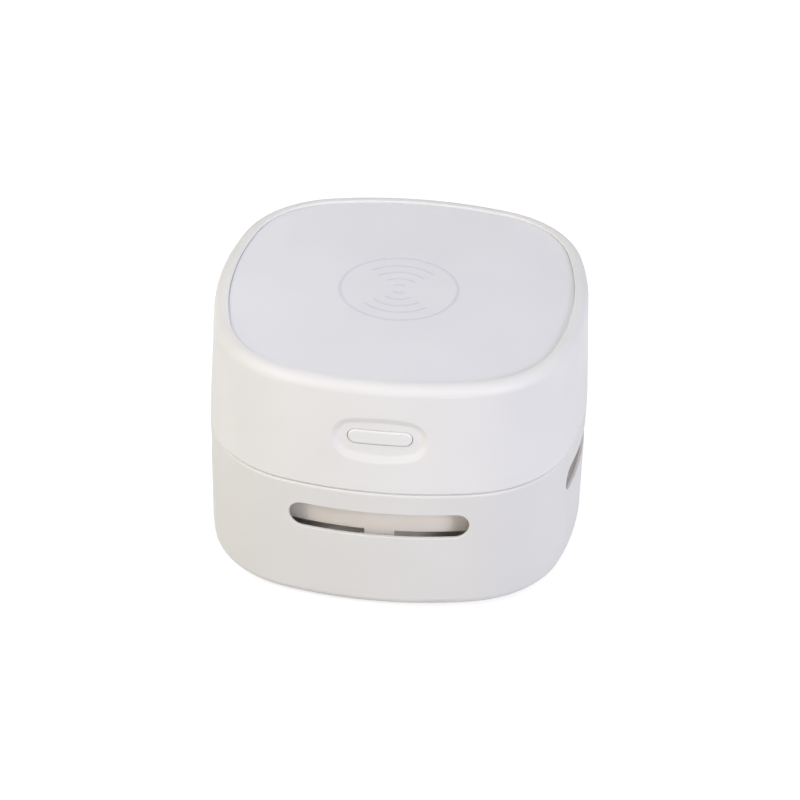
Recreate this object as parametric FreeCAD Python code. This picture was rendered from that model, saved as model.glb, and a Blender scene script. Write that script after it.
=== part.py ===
"""Desktop mini vacuum cleaner: a rounded-square dust base with a motor unit that lifts off it.

Millimetres, +Z up, origin on the table at the middle of the base, front face towards -Y.
A "half width" is the distance from the centre line to the middle of a side of a rounded-square outline.
Every such outline is a parallel inset of the outer one, so walls keep their thickness round the corners.
"""

import FreeCAD, Part
import math
import os

V = FreeCAD.Vector
UP = V(0, 0, 1)

# ---- overall form
HALF_WIDTH = 42.0  # at the seam, where the body is widest
SIDE_RADIUS = 82.0  # each side bulges on this radius
CORNER_RADIUS = 25.5
FOOT_HEIGHT = 1.0  # the feet hold the casing this far off the table
BODY_HEIGHT = 56.4  # casing, from its bottom edge to the top of the rim
SEAM_HEIGHT = 29.7  # from the casing's bottom edge to the middle of the seam
SEAM_GAP = 0.1
UPPER_DRAFT = 0.036  # the upper shell narrows by this much per mm of height
BASE_TUCK = 0.55  # the dust base is this much narrower at its bottom edge
WALL = 2.0
SEAM_ROUND = 0.6
RIM_ROUND = 2.4
BASE_ROUND = 2.0

# ---- top of the motor unit
RIM_WIDTH = 3.1  # flat and rounded part of the rim, measured inwards
PANEL_SINK = 0.55  # the panel's face lies this far below the rim
PANEL_THICKNESS = 1.6
PANEL_GAP = 0.05
PANEL_ROUND = 0.12
PANEL_LEDGE = 4.0  # the panel rests on a deck, which starts this far inside the rim
DECK_THICKNESS = 1.6
EMBLEM_RING_RADIUS = 13.1
EMBLEM_SHIFT = (-0.8, 0.5)  # it stands a little off the middle of the panel
EMBLEM_ARC_RADII = (1.75, 4.4, 7.1, 9.8)
EMBLEM_LINE = 0.7
EMBLEM_FAN_HALF_ANGLE = 45.0
EMBLEM_DEPTH = 0.2
EMBLEM_INK = 0.16

# ---- power button and its switch
BUTTON_RISE = 0.4  # from the middle of the upper shell's height to the button's axis
BUTTON_LENGTH = 14.0
BUTTON_HEIGHT = 3.4
BUTTON_CLEARANCE = 0.12
BUTTON_TRAVEL = 1.0
BUTTON_PROUD = 0.35  # of the dish floor
BUTTON_ROUND = 0.5
DISH_LENGTH = 24.3  # before the casing's bulge cuts its ends short
DISH_HEIGHT = 11.3
DISH_DEPTH = 0.65
DISH_SLOPE = 1.6  # the dish's wall leans inwards by this much over its depth
DISH_ROUND = 0.9
BUTTON_FLANGE = 1.5
BUTTON_FLANGE_THICKNESS = 0.9
FLANGE_CLEARANCE = 0.1
STEM_RADIUS = 1.5
STEM_REACH = 1.6  # into the switch, before the button is pressed
STEM_CLEARANCE = 0.15
STEM_END_CLEARANCE = 0.3
SWITCH_LENGTH = 8.0
SWITCH_DEPTH = 4.0
SWITCH_HEIGHT = 7.0
SWITCH_CHAMFER = 0.4
SWITCH_BOARD_LENGTH = 19.0
SWITCH_BOARD_HEIGHT = 9.0
GUIDE_WALL = 1.2
GUIDE_GRIP = 1.3  # the board's ends stand this deep in their grooves
GUIDE_CLEARANCE = 0.1
SPRING_SPACE = 3.0  # between the button's flange and the switch
SPRING_WIRE = 0.35
SPRING_RADIUS = 2.3
SPRING_TURNS = 3.0
SPRING_POINTS = 8  # bends in each turn
SPRING_CLEARANCE = 0.05

# ---- air outlets in the dust base
SLOT_LENGTH = 39.4
SLOT_HEIGHT = 6.0
SLOT_DROP = 8.3  # from the middle of the seam to the middle of the slots
SLOT_ROUND = 0.3
SLOT_LIP = 0.8  # the casing's wall is thinned to this round the air outlets
SLOT_RELIEF = 1.0  # the thinned part reaches this far past the outlet, all round

# ---- joint between the two halves
LIP_WALL = 1.4
LIP_HEIGHT = 1.6  # above the dust base's top edge
LIP_DEPTH = 3.0  # below it
LIP_CLEARANCE = 0.35

# ---- dust base floor
FLOOR_RECESS = 0.4  # the floor's underside lies this far above the casing's bottom edge
FLOOR_THICKNESS = 2.6
FLOOR_CLEARANCE = 0.2
INLET_LENGTH = 42.0
INLET_WIDTH = 9.0
CHIMNEY_WALL = 1.3
CHIMNEY_GAP = 2.8  # between the chimney and the filter when that is pulled down
BRUSH_GAP = 2.3  # from the inlet to a brush strip
BRUSH_LENGTH = 44.0
BRUSH_WIDTH = 3.6
BRUSH_BACK = 1.4
BRUSH_CLEARANCE = 0.1
TUFT_RADIUS = 0.75
TUFT_FLARE = 1.25  # root radius over tip radius
TUFT_COUNT = 18
TUFT_CLEARANCE = 0.15  # the tufts end this far above the table
FOOT_RADIUS = 4.5
FOOT_INSET = 20.5  # from the middle of the casing's sides to the middle of a foot
FOOT_SEAT = 0.5
FOOT_ROUND = 0.3
BOSS_RADIUS = 2.6
BOSS_WALL_GAP = 1.85  # between a corner boss and the casing's wall
BOSS_RIB_WALL = 1.4
LOWER_BOSS_HEIGHT = 12.0

# ---- dust cup
CUP_COLLAR_GAP = 0.55  # to the lip of the lower shell
CUP_STEP = 2.3  # the cup is this much narrower than its collar
CUP_COLLAR_DROP = 0.8  # the collar ends this far below the air outlets
CUP_WALL = 1.4
CUP_FLOOR = 1.3
CUP_TAB_WIDTH = 6.6  # four locating tabs below the collar
CUP_TAB_HEIGHT = 4.0
CUP_WING_SPARE = 1.0  # four wings of the collar run along the air outlets and end this far past them
CUP_WING_INSET = 0.25  # the wings and the tabs stand this far inside the lip of the lower shell
CUP_SEAT_WALL = 1.2  # raised segments on the floor that locate the cup
CUP_SEAT_HEIGHT = 2.0
CUP_SEAT_HALF_ANGLE = 28.0
CUP_SEAT_CLEARANCE = 0.1
GASKET_INSET = 0.1
GASKET_THICKNESS = 0.5
GASKET_GAP = 0.1

# ---- filter, held in the neck of the motor unit
NECK_GAP = 0.6  # between the neck and the dust cup
NECK_WALL = 1.3
NECK_DEPTH = 5.6
FILTER_CLEARANCE = 0.2
FILTER_WALL = 1.4
FILTER_DROP = 0.8  # the frame's finger flange, below the neck
FILTER_TRAVEL = 8.0
FILTER_RIB_WIDTH = 1.4
FILTER_RIB_HEIGHT = 1.2
PLEAT_COUNT = 16
PLEAT_SHEET = 0.5
PLEAT_CLEARANCE = 0.1

# ---- chassis and fan
CHASSIS_THICKNESS = 2.0
CHASSIS_AIR_GAP = 2.8  # between the chassis and the casing's wall
EYE_RADIUS = 11.0
EAR_RADIUS = 3.4
IMPELLER_GAP = 0.8
IMPELLER_BLADES = 9
IMPELLER_BACK = 1.0
BLADE_WALL = 1.0
BLADE_CURVE = 14.0
BLADE_INNER = 10.0
HUB_RADIUS = 4.0
HOUSING_GAP = 2.6  # between the impeller and its housing
HOUSING_WALL = 1.4
HOUSING_WALL_GAP = 12.0  # between the housing and the middle of the casing's walls
HOUSING_ROOF = 2.2
ROOF_BUTTON_DROP = 0.9  # the roof, which carries the motor, lies this far below the button's axis
HOUSING_WINDOW = 15.0
HOUSING_WINDOW_EDGE = 1.0
HOUSING_BOSS_RADIUS = 2.2
HOUSING_BOSS_GAP = 0.6  # between the housing's bosses and the switch board above the front one
HOUSING_SCREW_COVER = 0.8  # plastic over the tip of a housing screw

# ---- motor
MOTOR_RADIUS = 12.2
MOTOR_HEAD_GAP = 0.6  # between the motor and the deck
MOTOR_CAN_WALL = 0.8
MOTOR_CAP_THICKNESS = 1.2
MOTOR_NOSE_RADIUS = 3.0
MOTOR_NOSE_HEIGHT = 1.0
MOTOR_SCREW_OFFSET = 8.0
MOTOR_SCREW_LENGTH = 2.0
MAGNET_THICKNESS = 2.4
MAGNET_END_GAP = 0.3
MAGNET_HALF_ANGLE = 68.0
FIT_CLEARANCE = 0.05  # between pieces of the motor that are pressed together
ARMATURE_AIR_GAP = 0.5
ARMATURE_END_GAP = 0.3
POLE_WIDTH = 2.2
POLE_SHOE = 1.3
COIL_WALL = 1.0
COIL_LENGTH = 3.2
SHAFT_RADIUS = 1.0
SHAFT_CLEARANCE = 0.03
BEARING_RADIUS = 2.6
BEARING_HEIGHT = 1.8
COMMUTATOR_RADIUS = 1.9
COMMUTATOR_HEIGHT = 0.8
TERMINAL_WIDTH = 1.6
TERMINAL_THICKNESS = 0.5
TERMINAL_REACH = 0.9
TERMINAL_SPACING = 2.8
TERMINAL_DROP = 0.4

# ---- electronics
BATTERY_HEAD_GAP = 2.2  # between the battery and the deck
BATTERY_PROUD = 3.7  # of its cradle
BATTERY_ROUND = 1.6
CRADLE_WALL = 1.0
CRADLE_CLEARANCE = 0.1
CRADLE_MOTOR_GAP = 0.5
CRADLE_BOSS_GAP = 1.9  # between its ends and the corner bosses
CRADLE_REACH = 7.3  # from the corner bosses' axes out to its long side
BOARD_THICKNESS = 1.2
BOARD_MOTOR_GAP = 2.4
BOARD_CRADLE_GAP = 0.8
BOARD_SIDE_GAP = 19.9  # between the board and the middle of the casing's side wall
BOARD_BACK_GAP = 5.4  # between the board and the middle of the casing's back wall
BOARD_WALL_GAP = 1.1
BOARD_TONGUE_MARGIN = 2.0  # beside the charging socket
BOARD_STANDOFF = 1.0
BOARD_SCREW_INSET = 4.0
BOARD_SCREW_LENGTH = 3.4
PLUG_LENGTH = 6.0
PLUG_DEPTH = 4.0
PLUG_GAP = 1.0  # between the plug and the board's front edge
PLUG_DROP = 1.4  # the plug ends this far below the motor's terminals
CHARGER_SIZE = 5.0
CHARGER_HEIGHT = 1.4
CHARGER_SHIFT = 2.0  # behind the middle of the board
DRIVER_SIZE = 4.0
DRIVER_HEIGHT = 1.1
DRIVER_SHIFT = 2.5  # right of the middle of the board
CHOKE_RADIUS = 3.0
CHOKE_HEIGHT = 3.0
CHOKE_SIDE_INSET = 4.4
CHOKE_BACK_INSET = 3.5
CHOKE_GAP = 0.1
CAPACITOR_RADIUS = 2.0
CAPACITOR_HEIGHT = 4.4
CAPACITOR_SHIFT = (9.4, 1.4)  # from the middle of the board
DIODE_WIDTH = 2.0
DIODE_DEPTH = 1.5
DIODE_GAP = 1.0  # between the charging diode and its light rod
USB_LENGTH = 7.3
USB_WIDTH = 8.94
USB_HEIGHT = 3.26
USB_WALL = 0.3
USB_CLEARANCE = 0.35
USB_SINK = 0.7  # its mouth lies this far inside the casing's surface
USB_BACK_WALL = 0.8
USB_TONGUE_WIDTH = 6.7
USB_TONGUE_THICKNESS = 0.7
LAMP_RADIUS = 0.9
LAMP_LENGTH = 5.0
LAMP_OFFSET = 9.0
LAMP_SINK = 0.1
LEAD_RADIUS = 0.45
BATTERY_LEAD_START = 3.0  # from the battery's edge to its first lead
BATTERY_LEAD_SPACING = 2.4
BATTERY_LEAD_REACH = 3.4  # from the cradle's end to the first lead
BATTERY_LEAD_STEP = 2.2  # from the first lead's run to the second's
BATTERY_LEAD_SLANT = 1.6
BATTERY_LEAD_RISE = 2.2  # above the board, where a lead turns down
BATTERY_LEAD_NEST = 0.2  # the second lead turns down this much lower
BATTERY_LEAD_INSET = 1.2  # from the board's edge to where the leads land
SCREW_SHANK_RADIUS = 0.8
SCREW_HEAD_RADIUS = 1.8
SCREW_HEAD_HEIGHT = 1.1
SCREW_LENGTH = 7.0
SCREW_CLEARANCE = 0.2
PILOT_RADIUS = 0.85

# ---- geometry of the rounded square
SIDE_CENTRE = HALF_WIDTH - SIDE_RADIUS
CENTRE_SPAN = SIDE_RADIUS - CORNER_RADIUS
CORNER_CENTRE = (2 * SIDE_CENTRE + math.sqrt(8 * CENTRE_SPAN**2 - 4 * SIDE_CENTRE**2)) / 4
SIDE_HALF_ANGLE = math.degrees(math.atan2(CORNER_CENTRE, CORNER_CENTRE - SIDE_CENTRE))
CORNER_REACH = CORNER_CENTRE * math.sqrt(2) + CORNER_RADIUS  # from the axis to the outer corner

# ---- heights above the table
CASING_BOTTOM = FOOT_HEIGHT
RIM_TOP = CASING_BOTTOM + BODY_HEIGHT
SEAM = CASING_BOTTOM + SEAM_HEIGHT
LOWER_TOP = SEAM - SEAM_GAP / 2
UPPER_BOTTOM = SEAM + SEAM_GAP / 2
PANEL_TOP = RIM_TOP - PANEL_SINK
DECK_TOP = PANEL_TOP - PANEL_THICKNESS
DECK_BOTTOM = DECK_TOP - DECK_THICKNESS
BUTTON_Z = (UPPER_BOTTOM + RIM_TOP) / 2 + BUTTON_RISE
SLOT_Z = SEAM - SLOT_DROP
FLOOR_BOTTOM = CASING_BOTTOM + FLOOR_RECESS
FLOOR_TOP = FLOOR_BOTTOM + FLOOR_THICKNESS
CUP_TOP = LOWER_TOP + LIP_HEIGHT
CUP_COLLAR_BOTTOM = SLOT_Z - SLOT_HEIGHT / 2 - CUP_COLLAR_DROP
CHASSIS_BOTTOM = CUP_TOP + GASKET_THICKNESS + GASKET_GAP
CHASSIS_TOP = CHASSIS_BOTTOM + CHASSIS_THICKNESS
NECK_BOTTOM = CHASSIS_BOTTOM - NECK_DEPTH
FILTER_BOTTOM = NECK_BOTTOM - FILTER_DROP
CHIMNEY_TOP = FILTER_BOTTOM - FILTER_TRAVEL - CHIMNEY_GAP
IMPELLER_BOTTOM = CHASSIS_TOP + IMPELLER_GAP
IMPELLER_HEIGHT = BUTTON_Z - ROOF_BUTTON_DROP - HOUSING_ROOF - IMPELLER_GAP - IMPELLER_BOTTOM
IMPELLER_TOP = IMPELLER_BOTTOM + IMPELLER_HEIGHT
ROOF_BOTTOM = IMPELLER_TOP + IMPELLER_GAP
ROOF_TOP = ROOF_BOTTOM + HOUSING_ROOF
MOTOR_TOP = DECK_BOTTOM - MOTOR_HEAD_GAP
CAP_BOTTOM = MOTOR_TOP - MOTOR_CAP_THICKNESS
BATTERY_BOTTOM = ROOF_TOP + CRADLE_WALL
BATTERY_TOP = DECK_BOTTOM - BATTERY_HEAD_GAP
BOARD_BOTTOM = ROOF_TOP + BOARD_STANDOFF
BOARD_TOP = BOARD_BOTTOM + BOARD_THICKNESS
CRADLE_HEIGHT = BATTERY_TOP - BATTERY_PROUD - ROOF_TOP
PLUG_HEIGHT = CAP_BOTTOM - TERMINAL_DROP - TERMINAL_THICKNESS - PLUG_DROP - BOARD_TOP
USB_Z = BOARD_TOP + USB_HEIGHT / 2
SCREW_SINK = SCREW_HEAD_HEIGHT + 0.1  # depth of the recess for a screw's head
HOUSING_BOSS_HEIGHT = BUTTON_Z - SWITCH_BOARD_HEIGHT / 2 - HOUSING_BOSS_GAP - CHASSIS_TOP
HOUSING_SCREW_LENGTH = CHASSIS_THICKNESS + HOUSING_BOSS_HEIGHT - SCREW_SINK - HOUSING_SCREW_COVER

# ---- widths and places that follow from the sizes above
RIM_HALF = HALF_WIDTH - UPPER_DRAFT * (RIM_TOP - UPPER_BOTTOM)
PANEL_HALF = RIM_HALF - RIM_WIDTH
BASE_HALF = HALF_WIDTH - BASE_TUCK
LIP_OUTER = HALF_WIDTH - WALL - LIP_CLEARANCE
LIP_INNER = LIP_OUTER - LIP_WALL
BOSS_OFFSET = (CORNER_REACH - BASE_TUCK - WALL - BOSS_WALL_GAP - BOSS_RADIUS) / math.sqrt(2)
FOOT_OFFSET = HALF_WIDTH - FOOT_INSET
BRUSH_OFFSET = INLET_WIDTH / 2 + BRUSH_GAP + BRUSH_WIDTH / 2
CUP_COLLAR_RADIUS = LIP_INNER - CUP_COLLAR_GAP
CUP_WING_HALF = LIP_INNER - CUP_WING_INSET
CUP_RADIUS = CUP_COLLAR_RADIUS - CUP_STEP
NECK_RADIUS = CUP_RADIUS - CUP_WALL - NECK_GAP
FILTER_RADIUS = NECK_RADIUS - NECK_WALL - FILTER_CLEARANCE
CHASSIS_RADIUS = HALF_WIDTH - WALL - CHASSIS_AIR_GAP
HOUSING_RADIUS = HALF_WIDTH - WALL - HOUSING_WALL_GAP
IMPELLER_RADIUS = HOUSING_RADIUS - HOUSING_WALL - HOUSING_GAP
HOUSING_BOSS_OFFSET = HOUSING_RADIUS + HOUSING_BOSS_RADIUS - HOUSING_WALL / 2
MAGNET_RADIUS = MOTOR_RADIUS - MOTOR_CAN_WALL - FIT_CLEARANCE
ARMATURE_RADIUS = MAGNET_RADIUS - MAGNET_THICKNESS - ARMATURE_AIR_GAP
CRADLE_LEFT = MOTOR_RADIUS + CRADLE_MOTOR_GAP
CRADLE_RIGHT = BOSS_OFFSET + CRADLE_REACH
CRADLE_HALF = BOSS_OFFSET - BOSS_RADIUS - CRADLE_BOSS_GAP  # from its middle to its ends
CRADLE_MARGIN = CRADLE_WALL + CRADLE_CLEARANCE
BATTERY_LEFT = CRADLE_LEFT + CRADLE_MARGIN
BATTERY_WIDTH = CRADLE_RIGHT - CRADLE_MARGIN - BATTERY_LEFT
BATTERY_LENGTH = 2 * (CRADLE_HALF - CRADLE_MARGIN)
BOARD_FRONT = MOTOR_RADIUS + BOARD_MOTOR_GAP
BOARD_BACK = HALF_WIDTH - WALL - BOARD_BACK_GAP
BOARD_RIGHT = CRADLE_LEFT - BOARD_CRADLE_GAP
BOARD_LEFT = -(HALF_WIDTH - WALL - BOARD_SIDE_GAP)
BOARD_LENGTH = BOARD_RIGHT - BOARD_LEFT
BOARD_WIDTH = BOARD_BACK - BOARD_FRONT


def upper_half_width(z):
    """Outer half width of the upper shell at a height."""
    return HALF_WIDTH - UPPER_DRAFT * (z - UPPER_BOTTOM)


def lower_half_width(z):
    """Outer half width of the lower shell at a height."""
    return BASE_HALF + BASE_TUCK * (z - CASING_BOTTOM) / (LOWER_TOP - CASING_BOTTOM)


def side_sag(distance):
    """How far the side of the casing falls back at a distance from its middle."""
    return SIDE_RADIUS - math.sqrt(SIDE_RADIUS**2 - distance**2)


def turned(x, y, degrees):
    a = math.radians(degrees)
    return x * math.cos(a) - y * math.sin(a), x * math.sin(a) + y * math.cos(a)


def corners(offset):
    return [(sx * offset, sy * offset) for sx in (1, -1) for sy in (1, -1)]


def outline_arcs(half_width):
    """The eight arcs of a rounded square, as (centre x, centre y, radius, start, end) in degrees."""
    inset = HALF_WIDTH - half_width
    arcs = []
    for turn in (0, 90, 180, 270):
        side = turned(SIDE_CENTRE, 0, turn)
        corner = turned(CORNER_CENTRE, CORNER_CENTRE, turn)
        join = turn + SIDE_HALF_ANGLE
        arcs.append((*side, SIDE_RADIUS - inset, turn - SIDE_HALF_ANGLE, join))
        arcs.append((*corner, CORNER_RADIUS - inset, join, turn + 90 - SIDE_HALF_ANGLE))
    return arcs


def outline(half_width, z):
    edges = []
    for x, y, radius, start, end in outline_arcs(half_width):
        edges.append(Part.makeCircle(radius, V(x, y, z), UP, start, end))
    return Part.Wire(edges)


def slab(half_width, bottom, top):
    """A rounded-square plate."""
    return Part.Face(outline(half_width, bottom)).extrude(V(0, 0, top - bottom))


def upper_form(inset, bottom, top):
    """The upper shell's tapering outer form, inset by a distance, between two heights."""
    wires = [outline(upper_half_width(z) - inset, z) for z in (bottom, top)]
    return Part.makeLoft(wires, True, True)


def rounded_outline(points):
    """A closed flat outline in the XZ plane. Each point is (x, z, radius of its rounding)."""
    edges = []
    ends = []
    count = len(points)
    for i, (x, z, radius) in enumerate(points):
        corner = V(x, 0, z)
        if radius == 0:
            ends.append((corner, corner))
            continue
        back = V(points[i - 1][0], 0, points[i - 1][1]) - corner
        ahead = V(points[(i + 1) % count][0], 0, points[(i + 1) % count][1]) - corner
        start, middle, end = rounding(corner, back, ahead, radius)
        edges.append(Part.Arc(start, middle, end).toShape())
        ends.append((start, end))
    for i in range(count):
        start, end = ends[i][1], ends[(i + 1) % count][0]
        edges.append(Part.LineSegment(start, end).toShape())
    return Part.Wire(Part.__sortEdges__(edges))


def rounding(corner, back, ahead, radius):
    """Start, middle and end of the arc that rounds a corner between two directions."""
    back = V(back).normalize()
    ahead = V(ahead).normalize()
    half_turn = back.getAngle(ahead) / 2
    reach = radius / math.tan(half_turn)
    bisector = (back + ahead).normalize()
    middle = corner + bisector * (radius / math.sin(half_turn) - radius)
    return corner + back * reach, middle, corner + ahead * reach


def band(profile):
    """A ring that follows the rounded square. The profile is (half width, z, rounding) points."""
    sectors = []
    for x, y, radius, start, end in outline_arcs(HALF_WIDTH):
        shift = radius - HALF_WIDTH
        face = Part.Face(rounded_outline([(half + shift, z, r) for half, z, r in profile]))
        face.rotate(V(), UP, start)
        sector = face.revolve(V(), UP, end - start)
        sector.translate(V(x, y, 0))
        sectors.append(sector)
    return sectors[0].multiFuse(sectors[1:]).removeSplitter()


def stadium_wire(length, height, y, z):
    """A round-ended outline in an XZ plane."""
    half, radius = (length - height) / 2, height / 2
    left_top, right_top = V(-half, y, z + radius), V(half, y, z + radius)
    left_low, right_low = V(-half, y, z - radius), V(half, y, z - radius)
    edges = [
        Part.LineSegment(left_top, right_top).toShape(),
        Part.Arc(right_top, V(half + radius, y, z), right_low).toShape(),
        Part.LineSegment(right_low, left_low).toShape(),
        Part.Arc(left_low, V(-half - radius, y, z), left_top).toShape(),
    ]
    return Part.Wire(edges)


def stadium(length, height, z, front, back):
    """A bar with round ends, in the middle of the part, that runs along Y."""
    return Part.Face(stadium_wire(length, height, front, z)).extrude(V(0, back - front, 0))


def disc(radius, bottom, top, x=0.0, y=0.0):
    return Part.makeCylinder(radius, top - bottom, V(x, y, bottom))


def tube(outer, inner, bottom, top, x=0.0, y=0.0):
    return disc(outer, bottom, top, x, y).cut(disc(inner, bottom - 1, top + 1, x, y))


def rod(radius, front, back, x, z):
    """A round bar that runs along Y."""
    return Part.makeCylinder(radius, back - front, V(x, front, z), V(0, 1, 0))


def block(x0, x1, y0, y1, z0, z1):
    return Part.makeBox(x1 - x0, y1 - y0, z1 - z0, V(x0, y0, z0))


def centred_block(width, depth, x, y, bottom, top):
    return block(x - width / 2, x + width / 2, y - depth / 2, y + depth / 2, bottom, top)


def ring_sector(inner, outer, start, end, bottom, top, x=0.0, y=0.0):
    """Part of a flat ring, from one angle to another in degrees."""
    inside = Part.makeCircle(inner, V(x, y, bottom), UP, start, end)
    outside = Part.makeCircle(outer, V(x, y, bottom), UP, start, end)
    first = Part.makeLine(inside.firstVertex().Point, outside.firstVertex().Point)
    last = Part.makeLine(inside.lastVertex().Point, outside.lastVertex().Point)
    border = Part.Wire(Part.__sortEdges__([inside, outside, first, last]))
    return Part.Face(border).extrude(V(0, 0, top - bottom))


def around(shape, turns=4, first=0.0):
    """Copies of a shape, evenly turned about the vertical axis."""
    copies = []
    for i in range(turns):
        copy = shape.copy()
        copy.rotate(V(), UP, first + 360.0 * i / turns)
        copies.append(copy)
    return copies


def wire(points, radius=LEAD_RADIUS):
    """A round wire through the given points: straight runs joined by tangent arcs."""
    edges = []
    at = points[0]
    for i in range(1, len(points) - 1):
        corner = points[i]
        back = points[i - 1] - corner
        ahead = points[i + 1] - corner
        reach = 0.45 * min(back.Length, ahead.Length)
        bend = reach * math.tan(back.getAngle(ahead) / 2)
        start, middle, end = rounding(corner, back, ahead, bend)
        edges.append(Part.LineSegment(at, start).toShape())
        edges.append(Part.Arc(start, middle, end).toShape())
        at = end
    edges.append(Part.LineSegment(at, points[-1]).toShape())
    section = Part.Wire(Part.makeCircle(radius, points[0], points[1] - points[0]))
    return Part.Wire(edges).makePipeShell([section], True, True)


def screw(x, y, seat, up=True, length=SCREW_LENGTH):
    """A self-tapping screw whose head bears on z=seat. Its tip points up or down."""
    head = disc(SCREW_HEAD_RADIUS, -SCREW_HEAD_HEIGHT, 0)
    rim = [e for e in head.Edges if abs(e.CenterOfMass.z + SCREW_HEAD_HEIGHT) < 1e-6]
    head = head.makeFillet(SCREW_HEAD_HEIGHT * 0.45, rim)
    arm, half_slot = SCREW_HEAD_RADIUS * 0.62, SCREW_HEAD_RADIUS * 0.12
    for half_x, half_y in ((arm, half_slot), (half_slot, arm)):
        cross = centred_block(2 * half_x, 2 * half_y, 0, 0, -2 * SCREW_HEAD_HEIGHT, -SCREW_HEAD_HEIGHT * 0.4)
        head = head.cut(cross)
    tip_length = SCREW_SHANK_RADIUS
    tip = Part.makeCone(SCREW_SHANK_RADIUS, 0.2 * SCREW_SHANK_RADIUS, tip_length, V(0, 0, length - tip_length))
    whole = head.fuse([disc(SCREW_SHANK_RADIUS, 0, length - tip_length), tip])
    if not up:
        whole.rotate(V(), V(1, 0, 0), 180)
    whole.translate(V(x, y, seat))
    return whole.removeSplitter()


def screw_hole(x, y, bottom, top, sink):
    """A clearance hole with a recess for the head at its lower end."""
    hole = disc(SCREW_SHANK_RADIUS + SCREW_CLEARANCE, bottom - 1, top + 1, x, y)
    return hole.fuse(disc(SCREW_HEAD_RADIUS + SCREW_CLEARANCE, bottom - 1, bottom + sink, x, y))


def corner_boss(x, y, wall_half, bottom, top):
    """A screw boss in a corner of the casing, joined to the wall by a rib."""
    boss = disc(BOSS_RADIUS, bottom, top, x, y)
    rib = centred_block(CORNER_RADIUS, BOSS_RIB_WALL, CORNER_RADIUS / 2, 0, bottom, top)
    rib.rotate(V(), UP, math.degrees(math.atan2(y, x)))
    rib.translate(V(x, y, 0))
    return boss.fuse(rib).common(slab(wall_half, bottom, top))


def save(name, *shapes):
    """Writes one node, which may hold several separate solids."""
    solids = [s for shape in shapes for s in shape.Solids]
    for solid in solids:
        assert solid.isValid() and solid.Volume > 0, name
    shape = solids[0] if len(solids) == 1 else Part.makeCompound(solids)
    shape.exportStep(f"parts/{name}.step")
    print(f"{name:20s} {len(solids):3d} solids {sum(s.Volume for s in solids):10.1f} mm3")


# ------------------------------------------------------------------ dust base (stands on the table)


def lower_shell():
    support = LIP_WALL + LIP_CLEARANCE
    shell = band(
        [
            (BASE_HALF, CASING_BOTTOM, BASE_ROUND),
            (HALF_WIDTH, LOWER_TOP, SEAM_ROUND),
            (LIP_OUTER, LOWER_TOP, 0),
            (LIP_OUTER, CUP_TOP, LIP_WALL / 4),
            (LIP_INNER, CUP_TOP, LIP_WALL / 4),
            (LIP_INNER, LOWER_TOP - LIP_DEPTH, 0),
            (HALF_WIDTH - WALL, LOWER_TOP - LIP_DEPTH - support, 0),
            (BASE_HALF - WALL, FLOOR_TOP, 0),
            (BASE_HALF - WALL, CASING_BOTTOM, 0),
        ]
    )
    boss_top = FLOOR_TOP + LOWER_BOSS_HEIGHT
    bosses = [
        corner_boss(x, y, HALF_WIDTH - 0.8 * WALL, FLOOR_TOP, boss_top) for x, y in corners(BOSS_OFFSET)
    ]
    shell = shell.fuse(bosses)
    for x, y in corners(BOSS_OFFSET):
        shell = shell.cut(disc(PILOT_RADIUS, FLOOR_TOP - 1, FLOOR_TOP + SCREW_LENGTH, x, y))
    for cutter in around(slot_bar(0)) + around(slot_relief()):
        shell = shell.cut(cutter)
    shell = shell.removeSplitter()
    return shell.makeFillet(SLOT_ROUND, slot_lips(shell))


def slot_bar(grow):
    """A bar with the outline of an air outlet, that much larger all round."""
    length, height = SLOT_LENGTH + 2 * grow, SLOT_HEIGHT + 2 * grow
    return stadium(length, height, SLOT_Z, -HALF_WIDTH - WALL, -HALF_WIDTH + 3 * WALL)


def slot_relief():
    """Thins the wall from inside, so that only a thin lip is left round an air outlet."""
    inside = slab(lower_half_width(SLOT_Z) - SLOT_LIP, SLOT_Z - SLOT_HEIGHT, SLOT_Z + SLOT_HEIGHT)
    return slot_bar(SLOT_RELIEF).common(inside)


def slot_lips(shell):
    """The outer edges of the four air outlets."""
    found = []
    for edge in shell.Edges:
        middle = edge.valueAt((edge.FirstParameter + edge.LastParameter) / 2)
        level = abs(edge.BoundBox.Center.z - SLOT_Z) < SLOT_HEIGHT / 2 + 0.1
        flat = edge.BoundBox.ZLength < SLOT_HEIGHT + 0.1
        far, near = max(abs(middle.x), abs(middle.y)), min(abs(middle.x), abs(middle.y))
        outside = far + side_sag(near) > lower_half_width(SLOT_Z) - SLOT_LIP / 2
        if level and flat and outside and near < SLOT_LENGTH / 2 + 0.1:
            found.append(edge)
    return found


def inlet_hole(bottom, top, grow=0.0):
    """The suction slot, with round ends."""
    half, radius = (INLET_LENGTH - INLET_WIDTH) / 2, INLET_WIDTH / 2 + grow
    middle = centred_block(2 * half, 2 * radius, 0, 0, bottom, top)
    ends = [disc(radius, bottom, top, side * half, 0) for side in (1, -1)]
    return middle.fuse(ends).removeSplitter()


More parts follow.
